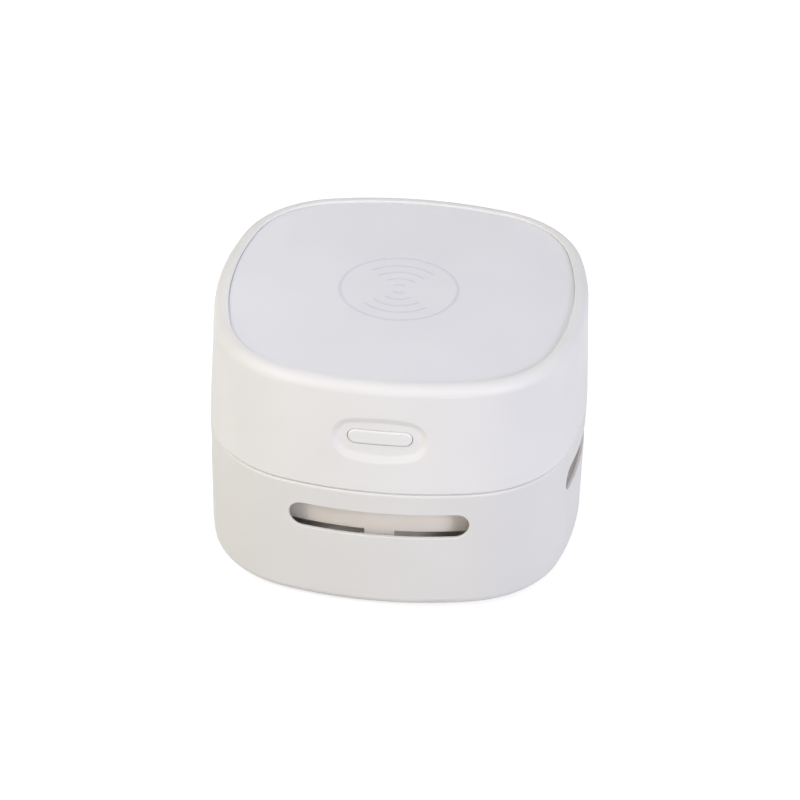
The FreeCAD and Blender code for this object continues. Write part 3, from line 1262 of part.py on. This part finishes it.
def main():
    os.makedirs("parts", exist_ok=True)
    save("lower_shell", lower_shell())
    save("base_floor", base_floor())
    save("brush_strip_front", brush_strip(-1))
    save("brush_strip_rear", brush_strip(1))
    save("bristles_front", *bristle_tufts(-1))
    save("bristles_rear", *bristle_tufts(1))
    save("dust_cup", dust_cup())
    save("cup_gasket", cup_gasket())
    save("foot_pads", *foot_pads())
    save("base_screws", *base_screws())
    save("upper_shell", upper_shell())
    save("top_panel", top_panel())
    save("emblem_inlay", *emblem_inlay())
    save("power_button", power_button())
    save("switch_stem", switch_stem())
    save("switch_body", switch_body())
    save("switch_board", switch_board())
    save("button_spring", button_spring())
    save("chassis", chassis())
    save("chassis_screws", *chassis_screws())
    save("housing_screws", *housing_screws())
    save("filter_frame", filter_frame())
    save("filter_pleats", filter_pleats())
    save("fan_housing", fan_housing())
    save("impeller", impeller())
    save("motor_can", motor_can())
    save("motor_cap", motor_cap())
    save("motor_terminals", *motor_terminals())
    save("motor_magnets", *motor_magnets())
    save("motor_bearings", *bearings())
    save("motor_shaft", motor_shaft())
    save("armature_core", armature_core())
    save("armature_coils", *armature_coils())
    save("commutator", commutator())
    save("motor_screws", *motor_screws())
    save("battery", battery())
    save("battery_cradle", battery_cradle())
    save("main_board", main_board())
    save("board_parts", *board_parts())
    save("board_screws", *board_screws())
    save("usb_socket", usb_socket())
    save("usb_tongue", usb_tongue())
    save("charge_lamp", charge_lamp())
    save("battery_leads", *battery_leads())
    save("motor_leads", *motor_leads())
    save("switch_leads", *switch_leads())


main()
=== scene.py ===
"""Looks of a desktop mini vacuum cleaner: satin white casing, sunk cool-white panel, rubber feet,
brush and pleated filter.

Metres, +Z up, front face towards -Y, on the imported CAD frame. MM turns millimetres into metres.
Each finish is one short function, named for what the real piece is made of and how it was made.
"""

import math
import random

import bmesh
import bpy
from mathutils import Matrix, Vector


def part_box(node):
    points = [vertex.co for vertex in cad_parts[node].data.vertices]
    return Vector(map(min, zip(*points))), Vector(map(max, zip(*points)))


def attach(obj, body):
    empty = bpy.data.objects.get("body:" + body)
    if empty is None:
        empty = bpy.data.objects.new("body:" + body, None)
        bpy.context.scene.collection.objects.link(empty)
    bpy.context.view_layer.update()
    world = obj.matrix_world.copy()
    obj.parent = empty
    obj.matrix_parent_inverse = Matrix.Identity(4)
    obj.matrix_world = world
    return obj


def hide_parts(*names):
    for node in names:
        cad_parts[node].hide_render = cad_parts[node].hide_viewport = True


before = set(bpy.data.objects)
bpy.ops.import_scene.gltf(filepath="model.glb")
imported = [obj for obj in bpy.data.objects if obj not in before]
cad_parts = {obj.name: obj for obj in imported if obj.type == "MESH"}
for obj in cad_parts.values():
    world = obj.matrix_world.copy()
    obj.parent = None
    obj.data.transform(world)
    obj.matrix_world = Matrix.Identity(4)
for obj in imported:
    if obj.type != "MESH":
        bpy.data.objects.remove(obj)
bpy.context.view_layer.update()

MM = 0.001

# ---- camera: a long lens above the front, a little to the right of it
LOOK_AT = Vector((0, 0, 31.0 * MM))
DISTANCE = 892.87 * MM
AZIMUTH = 5.6633  # degrees, as are the next two
ELEVATION = 32.8513
ROLL = -1.4237
LENS = 178.985  # millimetres, as is the sensor's width
SENSOR_WIDTH = 36
SHIFT_X = 0.000066
SHIFT_Y = -0.014515

# ---- studio
FLOOR_SIZE = 1.5
FLOOR_COLOUR = "#C4C4C4"
FLOOR_GLOW = 0.70  # where the camera looks, so that the open floor is white and the shadow stays
ROOM_COLOUR = "#FEFEFF"
ROOM_LIGHT = 0.34  # on the object
ROOM_WHITE = 1.0  # behind it
WHITE = (1.0, 1.0, 1.0, 1.0)
LAMPS = {  # place, width, power and colour of each soft box
    "right_lamp": ((0.70, -0.50, 0.36), 0.30, 4.3, "#F0F0FF"),
    "high_right_lamp": ((0.60, 0.15, 0.70), 0.40, 0.7, "#F4F2FF"),
    "left_lamp": ((-0.34, -0.26, 0.40), 0.30, 1.35, "#FFFFFC"),
    "low_left_lamp": ((-0.70, -0.62, 0.18), 0.30, 1.54, "#FFEED6"),
    "back_lamp": ((-0.30, 0.95, 0.62), 0.60, 1.2, "#FFF8F0"),
}

# ---- brush
TUFTS_IN_ROW = 18
TUFT_RADIUS = 0.75 * MM
TUFT_END_GAP = 1.5 * TUFT_RADIUS  # from the row's end to the middle of its last tuft
TUFT_SIDE_GAP = 1.25 * TUFT_RADIUS  # the same to its side
TUFT_SPLAY = 1.1 * TUFT_RADIUS  # how far the outermost tips stand out
HAIRS_PER_TUFT = 22
HAIR_RADIUS = 0.08 * MM
HAIR_SIDES = 5
HAIR_LEVELS = (0.0, 0.35, 0.7, 1.0)  # shares of a hair's length, from its root
HAIR_TAPER = 0.35  # share of its radius that a hair loses by its tip
HAIR_LEAN = 0.08 * MM
HAIR_SHORTFALL = 0.1  # millimetres by which hairs differ in length
BRUSH_SEED = 7

# ---- widths of the finishes' patterns in millimetres
CLOUD = 38  # slow drift of a moulded colour
SMEAR = 11  # marks of handling
BLOOM = 3  # pale patches on rubber
STIPPLE = 0.3  # grain of a mould for rubber
HAIR_DUST = 0.6
FIBRE = 2  # length of a paper fibre
WINDING_TURN = 0.3
FILM_WAVE = 5
BOARD_TRACK = 2.4
GLASS_WEAVE = 0.5
FLOW_MARK = 1.5
LEAD_DUST = 0.8
WAVE_RATE = 20  # radians that the wave texture makes of a length of 1 at scale 1

# ---- refraction of what the pieces are made of
ABS = 1.54
NYLON = 1.53
POLYPROPYLENE = 1.49
EPOXY = 1.55
PAINT = 1.50
SILICONE = 1.52
CELLULOSE = 1.47
PVC_FILM = 1.54
PVC_INSULATION = 1.53
ACRYLIC = 1.49


# ------------------------------------------------------------------ helpers


def linear(colour):
    """Linear RGBA of an sRGB hex value."""
    channels = [int(colour[i : i + 2], 16) / 255 for i in (1, 3, 5)]
    return (*[c / 12.92 if c <= 0.04045 else ((c + 0.055) / 1.055) ** 2.4 for c in channels], 1.0)


def per_mm(size):
    """Texture scale at which a pattern repeats every so many millimetres."""
    return 1 / (size * MM)


def add(tree, kind, inputs=None, **settings):
    """Adds a node. Settings are its properties, inputs its sockets' values or what feeds them."""
    node = tree.nodes.new("ShaderNode" + kind)
    for name, value in settings.items():
        setattr(node, name, value)
    for socket, value in (inputs or {}).items():
        if isinstance(value, bpy.types.NodeSocket):
            tree.links.new(value, node.inputs[socket])
        else:
            node.inputs[socket].default_value = value
    return node


def new_finish(name):
    """A material with an empty tree, and the place on the piece that its patterns follow."""
    material = bpy.data.materials.new(name)
    material.use_nodes = True
    tree = material.node_tree
    tree.nodes.clear()
    return material, tree, add(tree, "TexCoord").outputs["Object"]


# ------------------------------------------------------------------ finishes


def moulded(name, low, high, roughness, grain, depth, ior):
    """Injection-moulded plastic. Broad clouds of two close colours, faint smears of handling and
    the grain of a spark-cut mould, drawn two or three times as coarse as its real 0.15 mm so that
    it shows: a soft satin gloss."""
    material, tree, place = new_finish(name)
    clouds = add(tree, "TexNoise", {"Vector": place, "Scale": per_mm(CLOUD), "Detail": 2.0})
    limits = {"From Min": 0.35, "From Max": 0.65}
    share = add(tree, "MapRange", {"Value": clouds.outputs["Fac"], **limits})
    colours = {"Factor": share.outputs["Result"], "A": linear(low), "B": linear(high)}
    colour = add(tree, "Mix", colours, data_type="RGBA")
    handling = {"Scale": per_mm(SMEAR), "Detail": 4.0, "Distortion": 0.7}
    smears = add(tree, "TexNoise", {"Vector": place, **handling})
    limits = {"From Min": 0.3, "From Max": 0.7}
    gloss = {"To Min": roughness - 0.05, "To Max": roughness + 0.05}
    rough = add(tree, "MapRange", {"Value": smears.outputs["Fac"], **limits, **gloss})
    pits = add(tree, "TexNoise", {"Vector": place, "Scale": per_mm(grain), "Detail": 3.0})
    relief = {"Height": pits.outputs["Fac"], "Strength": 0.6, "Distance": depth * MM}
    bump = add(tree, "Bump", relief)
    body = {"Base Color": colour.outputs["Result"], "Roughness": rough.outputs["Result"]}
    plastic = {**body, "IOR": ior, "Normal": bump.outputs["Normal"]}
    skin = add(tree, "BsdfPrincipled", plastic)
    add(tree, "OutputMaterial", {"Surface": skin.outputs["BSDF"]})
    return material


def rubber(name, low, high, roughness):
    """Compression-moulded rubber: matt, with a pale bloom in patches and a fine stipple."""
    material, tree, place = new_finish(name)
    patches = {"Scale": per_mm(BLOOM), "Detail": 6.0, "Roughness": 0.65}
    bloom = add(tree, "TexNoise", {"Vector": place, **patches})
    limits = {"From Min": 0.3, "From Max": 0.7}
    share = add(tree, "MapRange", {"Value": bloom.outputs["Fac"], **limits})
    colours = {"Factor": share.outputs["Result"], "A": linear(low), "B": linear(high)}
    colour = add(tree, "Mix", colours, data_type="RGBA")
    stipple = add(tree, "TexNoise", {"Vector": place, "Scale": per_mm(STIPPLE), "Detail": 2.0})
    relief = {"Height": stipple.outputs["Fac"], "Strength": 0.7, "Distance": 0.03 * MM}
    bump = add(tree, "Bump", relief)
    body = {"Base Color": colour.outputs["Result"], "Roughness": roughness, "IOR": SILICONE}
    matt = {**body, "Specular IOR Level": 0.35, "Normal": bump.outputs["Normal"]}
    skin = add(tree, "BsdfPrincipled", matt)
    add(tree, "OutputMaterial", {"Surface": skin.outputs["BSDF"]})
    return material


def nylon_hair(name, low, high):
    """Extruded nylon hair: each a little lighter or darker than the next, with a waxy glint."""
    material, tree, place = new_finish(name)
    hairs = add(tree, "NewGeometry").outputs["Random Per Island"]
    colours = {"Factor": hairs, "A": linear(low), "B": linear(high)}
    colour = add(tree, "Mix", colours, data_type="RGBA")
    dust = add(tree, "TexNoise", {"Vector": place, "Scale": per_mm(HAIR_DUST), "Detail": 2.0})
    gloss = {"To Min": 0.22, "To Max": 0.46}
    rough = add(tree, "MapRange", {"Value": dust.outputs["Fac"], **gloss})
    body = {"Base Color": colour.outputs["Result"], "Roughness": rough.outputs["Result"]}
    skin = add(tree, "BsdfPrincipled", {**body, "IOR": NYLON})
    add(tree, "OutputMaterial", {"Surface": skin.outputs["BSDF"]})
    return material


def filter_paper(name, low, high):
    """Wet-laid filter paper: cream, dry to the eye, its matted fibres showing as soft streaks."""
    material, tree, place = new_finish(name)
    along = add(tree, "Mapping", {"Vector": place, "Scale": (4.0, 1.0, 1.0)})
    streaks = {"Scale": per_mm(FIBRE), "Detail": 8.0, "Distortion": 1.2}
    fibres = add(tree, "TexNoise", {"Vector": along.outputs["Vector"], **streaks})
    limits = {"From Min": 0.3, "From Max": 0.7}
    share = add(tree, "MapRange", {"Value": fibres.outputs["Fac"], **limits})
    colours = {"Factor": share.outputs["Result"], "A": linear(low), "B": linear(high)}
    colour = add(tree, "Mix", colours, data_type="RGBA")
    relief = {"Height": fibres.outputs["Fac"], "Strength": 0.8, "Distance": 0.06 * MM}
    bump = add(tree, "Bump", relief)
    body = {"Base Color": colour.outputs["Result"], "Roughness": 0.86, "IOR": CELLULOSE}
    dry = {**body, "Sheen Weight": 0.15, "Normal": bump.outputs["Normal"]}
    skin = add(tree, "BsdfPrincipled", dry)
    add(tree, "OutputMaterial", {"Surface": skin.outputs["BSDF"]})
    return material


def tooled_metal(name, low, high, roughness, spacing, stretch):
    """Plated or drawn metal whose tool lines, drawn wider than the real 0.05 mm so that they show,
    smear its reflections."""
    material, tree, place = new_finish(name)
    along = add(tree, "Mapping", {"Vector": place, "Scale": stretch})
    drawn = {"Scale": per_mm(spacing), "Detail": 5.0}
    lines = add(tree, "TexNoise", {"Vector": along.outputs["Vector"], **drawn})
    limits = {"From Min": 0.3, "From Max": 0.7}
    share = add(tree, "MapRange", {"Value": lines.outputs["Fac"], **limits})
    colours = {"Factor": share.outputs["Result"], "A": linear(low), "B": linear(high)}
    colour = add(tree, "Mix", colours, data_type="RGBA")
    gloss = {"To Min": roughness + 0.07, "To Max": roughness - 0.07}
    rough = add(tree, "MapRange", {"Value": share.outputs["Result"], **gloss})
    relief = {"Height": lines.outputs["Fac"], "Strength": 0.4, "Distance": 0.01 * MM}
    bump = add(tree, "Bump", relief)
    body = {"Base Color": colour.outputs["Result"], "Roughness": rough.outputs["Result"]}
    bare = {**body, "Metallic": 1.0, "Normal": bump.outputs["Normal"]}
    skin = add(tree, "BsdfPrincipled", bare)
    add(tree, "OutputMaterial", {"Surface": skin.outputs["BSDF"]})
    return material


def sintered(name, low, high, roughness, pore, metallic):
    """Pressed and sintered powder: a dull body full of pores about a third of a millimetre across,
    each darkened by painted shade."""
    material, tree, place = new_finish(name)
    pores = add(tree, "TexVoronoi", {"Vector": place, "Scale": per_mm(pore)})
    # the colour runs down to the dark one in the pores: painted shade inside each pore
    limits = {"From Min": 0.05, "From Max": 0.4}
    share = add(tree, "MapRange", {"Value": pores.outputs["Distance"], **limits})
    colours = {"Factor": share.outputs["Result"], "A": linear(low), "B": linear(high)}
    colour = add(tree, "Mix", colours, data_type="RGBA")
    relief = {"Height": share.outputs["Result"], "Strength": 0.6, "Distance": 0.04 * MM}
    bump = add(tree, "Bump", relief)
    body = {"Base Color": colour.outputs["Result"], "Roughness": roughness}
    dull = {**body, "Metallic": metallic, "Normal": bump.outputs["Normal"]}
    skin = add(tree, "BsdfPrincipled", dull)
    add(tree, "OutputMaterial", {"Surface": skin.outputs["BSDF"]})
    return material


def enamelled_wire(name, low, high, pitch):
    """Copper wire wound in close turns under clear amber enamel: painted highlights on the ridges,
    painted shade in the gaps.
    """
    material, tree, place = new_finish(name)
    apart = math.tau / WAVE_RATE * per_mm(pitch)
    rings = {"wave_type": "RINGS", "rings_direction": "Z"}
    turns = add(tree, "TexWave", {"Vector": place, "Scale": apart}, **rings)
    # the turns swing the copper from dark to bright: painted shade in the gaps, a painted highlight
    # on each ridge
    colours = {"Factor": turns.outputs["Fac"], "A": linear(low), "B": linear(high)}
    colour = add(tree, "Mix", colours, data_type="RGBA")
    relief = {"Height": turns.outputs["Fac"], "Strength": 0.9, "Distance": 0.08 * MM}
    bump = add(tree, "Bump", relief)
    copper = {"Base Color": colour.outputs["Result"], "Roughness": 0.3, "Metallic": 1.0}
    enamel = {"Coat Weight": 0.6, "Coat Roughness": 0.12, "Normal": bump.outputs["Normal"]}
    skin = add(tree, "BsdfPrincipled", {**copper, **enamel})
    add(tree, "OutputMaterial", {"Surface": skin.outputs["BSDF"]})
    return material


def shrink_film(name, low, high):
    """Heat-shrunk PVC film: glossy, with shallow waves where it tightened unevenly."""
    material, tree, place = new_finish(name)
    tightening = {"Scale": per_mm(FILM_WAVE), "Detail": 3.0, "Distortion": 0.8}
    waves = add(tree, "TexNoise", {"Vector": place, **tightening})
    colours = {"Factor": waves.outputs["Fac"], "A": linear(low), "B": linear(high)}
    colour = add(tree, "Mix", colours, data_type="RGBA")
    relief = {"Height": waves.outputs["Fac"], "Strength": 0.7, "Distance": 0.12 * MM}
    bump = add(tree, "Bump", relief)
    film = {"Base Color": colour.outputs["Result"], "Roughness": 0.18, "IOR": PVC_FILM}
    skin = add(tree, "BsdfPrincipled", {**film, "Normal": bump.outputs["Normal"]})
    add(tree, "OutputMaterial", {"Surface": skin.outputs["BSDF"]})
    return material


def solder_mask(name, low, high):
    """Glass laminate under a printed solder mask: glossy, with lighter tracks and a fine weave."""
    material, tree, place = new_finish(name)
    printed = {"Scale": per_mm(BOARD_TRACK), "Mortar Size": 0.06}
    tracks = add(tree, "TexBrick", {"Vector": place, **printed})
    colours = {"Factor": tracks.outputs["Fac"], "A": linear(low), "B": linear(high)}
    colour = add(tree, "Mix", colours, data_type="RGBA")
    weave = add(tree, "TexChecker", {"Vector": place, "Scale": per_mm(GLASS_WEAVE)})
    relief = {"Height": weave.outputs["Fac"], "Strength": 0.3, "Distance": 0.02 * MM}
    bump = add(tree, "Bump", relief)
    mask = {"Base Color": colour.outputs["Result"], "Roughness": 0.26, "IOR": EPOXY}
    skin = add(tree, "BsdfPrincipled", {**mask, "Normal": bump.outputs["Normal"]})
    add(tree, "OutputMaterial", {"Surface": skin.outputs["BSDF"]})
    return material


def clear_acrylic(name, tint):
    """Moulded clear acrylic: bright, dark at its rim, with faint flow marks."""
    material, tree, place = new_finish(name)
    flow = add(tree, "TexNoise", {"Vector": place, "Scale": per_mm(FLOW_MARK), "Detail": 2.0})
    gloss = {"To Min": 0.02, "To Max": 0.2}
    rough = add(tree, "MapRange", {"Value": flow.outputs["Fac"], **gloss})
    relief = {"Height": flow.outputs["Fac"], "Strength": 0.3, "Distance": 0.02 * MM}
    bump = add(tree, "Bump", relief)
    body = {"Base Color": linear(tint), "Roughness": rough.outputs["Result"], "IOR": ACRYLIC}
    clear = {**body, "Transmission Weight": 1.0, "Normal": bump.outputs["Normal"]}
    skin = add(tree, "BsdfPrincipled", clear)
    add(tree, "OutputMaterial", {"Surface": skin.outputs["BSDF"]})
    return material


def lead_insulation(name, first, second):
    """Extruded PVC insulation, softly shining: each lead is either red or near black."""
    material, tree, place = new_finish(name)
    leads = add(tree, "NewGeometry").outputs["Random Per Island"]
    pick = add(tree, "Math", {0: leads, 1: 0.5}, operation="GREATER_THAN")
    colours = {"Factor": pick.outputs["Value"], "A": linear(first), "B": linear(second)}
    colour = add(tree, "Mix", colours, data_type="RGBA")
    dust = add(tree, "TexNoise", {"Vector": place, "Scale": per_mm(LEAD_DUST), "Detail": 3.0})
    gloss = {"To Min": 0.3, "To Max": 0.54}
    rough = add(tree, "MapRange", {"Value": dust.outputs["Fac"], **gloss})
    body = {"Base Color": colour.outputs["Result"], "Roughness": rough.outputs["Result"]}
    skin = add(tree, "BsdfPrincipled", {**body, "IOR": PVC_INSULATION})
    add(tree, "OutputMaterial", {"Surface": skin.outputs["BSDF"]})
    return material


EVEN = (1.0, 1.0, 1.0)
ROUND_THE_CAN = (1.0, 1.0, 0.08)  # drawn upwards, so the lines run along Z
ALONG_THE_SHELL = (1.0, 0.08, 1.0)
# What follows a name is the darker and the lighter colour, then roughness. For moulded plastic
# the grain, its depth (both in millimetres) and the refraction come after them.
FINISHES = {
    "casing_plastic": moulded("casing_abs", "#E5E4E2", "#EAE9E7", 0.56, 0.45, 0.010, ABS),
    "panel_plastic": moulded("panel_abs", "#E2E3E7", "#E6E7EB", 0.50, 0.35, 0.006, ABS),
    "emblem_paint": moulded("emblem_paint", "#D7D9DE", "#DCDEE3", 0.50, 0.30, 0.010, PAINT),
    "button_plastic": moulded("button_abs", "#E6E6E3", "#EAEAE7", 0.32, 0.40, 0.006, ABS),
    # The cup's colours are lighter than the casing's: painted light that brightens the hollow seen
    # through the slots, over a warm white plastic.
    "cup_plastic": moulded("cup_abs_painted_light", "#EDE7DE", "#F2ECE4", 0.38, 0.50, 0.010, ABS),
    "chassis_plastic": moulded("chassis_abs", "#D9D9D5", "#DEDEDA", 0.42, 0.50, 0.012, ABS),
    "fan_plastic": moulded("fan_nylon", "#33363A", "#3B3E42", 0.45, 0.50, 0.012, NYLON),
    "switch_plastic": moulded("switch_nylon", "#222325", "#2B2C2E", 0.50, 0.40, 0.012, NYLON),
    "seal_rubber": rubber("seal_silicone", "#77787A", "#86878A", 0.60),
    "foot_rubber": rubber("foot_rubber", "#8C8C8A", "#9C9C9A", 0.78),
    "brush_plastic": moulded(
        "brush_polypropylene", "#36373A", "#3F4043", 0.50, 0.50, 0.015, POLYPROPYLENE
    ),
    "bristle_nylon": nylon_hair("bristle_nylon", "#2B2C2F", "#55575B"),
    "filter_paper": filter_paper("filter_paper", "#DED8C6", "#F2EEE2"),
    "screw_steel": tooled_metal("zinc_plated_steel", "#9FA3A6", "#C3C6C8", 0.32, 0.60, EVEN),
    "motor_steel": tooled_metal("drawn_steel", "#A9ABAB", "#CBCCCC", 0.27, 0.25, ROUND_THE_CAN),
    "motor_cap_plastic": moulded(
        "motor_cap_nylon", "#DAD7CE", "#E2DFD6", 0.48, 0.50, 0.012, NYLON
    ),
    "magnet_ferrite": sintered("ferrite", "#252525", "#434342", 0.62, 0.40, 0.0),
    "bush_bronze": sintered("sintered_bronze", "#5E4A2C", "#B08F5C", 0.42, 0.35, 1.0),
    "winding_copper": enamelled_wire("enamelled_copper", "#6E2F16", "#C67A48", WINDING_TURN),
    "cell_wrap": shrink_film("cell_film", "#2F6496", "#3D77AC"),
    "board_laminate": solder_mask("solder_mask", "#1F5A38", "#34784F"),
    "board_component": moulded(
        "component_epoxy", "#1D1E20", "#2A2B2D", 0.55, 0.30, 0.015, EPOXY
    ),
    "socket_steel": tooled_metal(
        "nickel_plated_steel", "#A8A8A4", "#CDCCC7", 0.24, 0.30, ALONG_THE_SHELL
    ),
    "socket_plastic": moulded("tongue_nylon", "#17181A", "#222325", 0.45, 0.30, 0.010, NYLON),
    "lamp_plastic": clear_acrylic("clear_acrylic", "#F4F7F5"),
    "lead_insulation": lead_insulation("lead_pvc", "#A32A22", "#1E1F21"),
}
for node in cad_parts.values():
    for slot in node.material_slots:
        slot.material = FINISHES[slot.material.name]

# The shell of the dust base gets a copy of the casing's plastic in greyer colours, so that it is
# drawn darker than the upper shell.
lower_casing = moulded("lower_casing_abs", "#DEDDDA", "#E3E2DF", 0.56, 0.45, 0.010, ABS)
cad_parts["lower_shell"].material_slots[0].material = lower_casing


# ------------------------------------------------------------------ brush


def add_hair(mesh, root, tip):
    """One tapered hair as a closed tube."""
    run = tip - root
    side = run.orthogonal().normalized()
    other = run.normalized().cross(side)
    turns = [math.tau * i / HAIR_SIDES for i in range(HAIR_SIDES)]
    rings = []
    for level in HAIR_LEVELS:
        middle = root + run * level
        reach = HAIR_RADIUS * (1 - HAIR_TAPER * level)
        ring = [middle + (side * math.cos(a) + other * math.sin(a)) * reach for a in turns]
        rings.append([mesh.verts.new(point) for point in ring])
    for low, high in zip(rings, rings[1:]):
        for i in range(HAIR_SIDES):
            j = (i + 1) % HAIR_SIDES
            mesh.faces.new((low[i], low[j], high[j], high[i]))
    mesh.faces.new(rings[0][::-1])
    mesh.faces.new(rings[-1])


def bristles(name, node):
    """Bunches of hair in two staggered rows under a brush strip, splayed a little at their tips."""
    (x0, y0, z0), (x1, y1, z1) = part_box(node)
    chance = random.Random(BRUSH_SEED)
    mesh = bmesh.new()
    span, middle = x1 - x0 - 2 * TUFT_END_GAP, (y0 + y1) / 2
    stagger = (y1 - y0) / 2 - TUFT_SIDE_GAP
    for i in range(TUFTS_IN_ROW):
        x = x0 + TUFT_END_GAP + span * i / (TUFTS_IN_ROW - 1)
        y = middle + (stagger if i % 2 else -stagger)
        for _ in range(HAIRS_PER_TUFT):
            turn, far = chance.uniform(0, math.tau), math.sqrt(chance.random())
            out = Vector((math.cos(turn), math.sin(turn), 0)) * far
            lean = Vector((chance.uniform(-1, 1), chance.uniform(-1, 1), 0)) * HAIR_LEAN
            root = Vector((x, y, z1)) + out * (TUFT_RADIUS - HAIR_RADIUS)
            end = Vector((x, y, z0 + chance.uniform(0, HAIR_SHORTFALL) * MM))
            add_hair(mesh, root, end + out * TUFT_SPLAY + lean)
    data = bpy.data.meshes.new(name)
    mesh.to_mesh(data)
    mesh.free()
    data.materials.append(FINISHES["bristle_nylon"])
    piece = bpy.data.objects.new(name, data)
    bpy.context.scene.collection.objects.link(piece)
    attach(piece, "dust_base")
    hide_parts(node)


bristles("front_bristles", "bristles_front")
bristles("rear_bristles", "bristles_rear")


# ------------------------------------------------------------------ studio


def look_from(azimuth, elevation, roll):
    """The camera's rotation, and the direction from what it looks at back to it."""
    az, el, turn = (math.radians(a) for a in (azimuth, elevation, roll))
    back = Vector((math.sin(az) * math.cos(el), -math.cos(az) * math.cos(el), math.sin(el)))
    right = Vector((math.cos(az), math.sin(az), 0))
    up = back.cross(right)
    across = right * math.cos(turn) - up * math.sin(turn)
    upright = right * math.sin(turn) + up * math.cos(turn)
    return Matrix((across, upright, back)).transposed(), back


def camera():
    """The camera, on a line that meets the object's axis near mid height."""
    data = bpy.data.cameras.new("camera")
    data.lens, data.sensor_width = LENS, SENSOR_WIDTH
    data.shift_x, data.shift_y = SHIFT_X, SHIFT_Y
    rotation, back = look_from(AZIMUTH, ELEVATION, ROLL)
    view = bpy.data.objects.new("camera", data)
    view.matrix_world = Matrix.Translation(LOOK_AT + back * DISTANCE) @ rotation.to_4x4()
    bpy.context.scene.collection.objects.link(view)
    bpy.context.scene.camera = view


def lamps():
    """Square soft boxes, all turned to the object."""
    for name, (place, width, power, colour) in LAMPS.items():
        data = bpy.data.lights.new(name, "AREA")
        data.shape, data.size, data.energy = "SQUARE", width, power
        data.color = linear(colour)[:3]
        lamp = bpy.data.objects.new(name, data)
        lamp.location = place
        towards = LOOK_AT - Vector(place)
        lamp.rotation_euler = towards.to_track_quat("-Z", "Y").to_euler()
        bpy.context.scene.collection.objects.link(lamp)


def seen_ray(tree):
    """1 where the camera, or a reflection or glass in its view, looks straight at a surface."""
    rays = add(tree, "LightPath").outputs
    glossy_or_glass = {0: rays["Is Glossy Ray"], 1: rays["Is Transmission Ray"]}
    sharp = add(tree, "Math", glossy_or_glass, operation="MAXIMUM")
    any_seen = {0: rays["Is Camera Ray"], 1: sharp.outputs["Value"]}
    return add(tree, "Math", any_seen, operation="MAXIMUM").outputs["Value"]


def room():
    """A world that lights the object softly and is plain white to look at."""
    world = bpy.data.worlds.new("room")
    world.use_nodes = True
    tree = world.node_tree
    tree.nodes.clear()
    light = add(tree, "Background", {"Color": linear(ROOM_COLOUR), "Strength": ROOM_LIGHT})
    white = add(tree, "Background", {"Color": WHITE, "Strength": ROOM_WHITE})
    mix = add(tree, "MixShader", {0: seen_ray(tree), 1: light.outputs[0], 2: white.outputs[0]})
    add(tree, "OutputWorld", {"Surface": mix.outputs[0]})
    bpy.context.scene.world = world


def floor():
    """A pale matt floor under the feet."""
    mesh = bpy.data.meshes.new("floor")
    half = FLOOR_SIZE / 2
    corners = [(-half, -half, 0), (half, -half, 0), (half, half, 0), (-half, half, 0)]
    mesh.from_pydata(corners, [], [(0, 1, 2, 3)])
    ground = bpy.data.objects.new("floor", mesh)
    bpy.context.scene.collection.objects.link(ground)
    material = bpy.data.materials.new("floor_paint")
    material.use_nodes = True
    tree = material.node_tree
    tree.nodes.clear()
    paint = add(tree, "BsdfDiffuse", {"Color": linear(FLOOR_COLOUR)})
    level = add(tree, "Math", {0: seen_ray(tree), 1: FLOOR_GLOW}, operation="MULTIPLY")
    glow = add(tree, "Emission", {"Color": WHITE, "Strength": level.outputs["Value"]})
    both = add(tree, "AddShader", {0: paint.outputs[0], 1: glow.outputs[0]})
    add(tree, "OutputMaterial", {"Surface": both.outputs[0]})
    mesh.materials.append(material)


camera()
lamps()
room()
floor()
bpy.context.scene.view_settings.view_transform = "Standard"
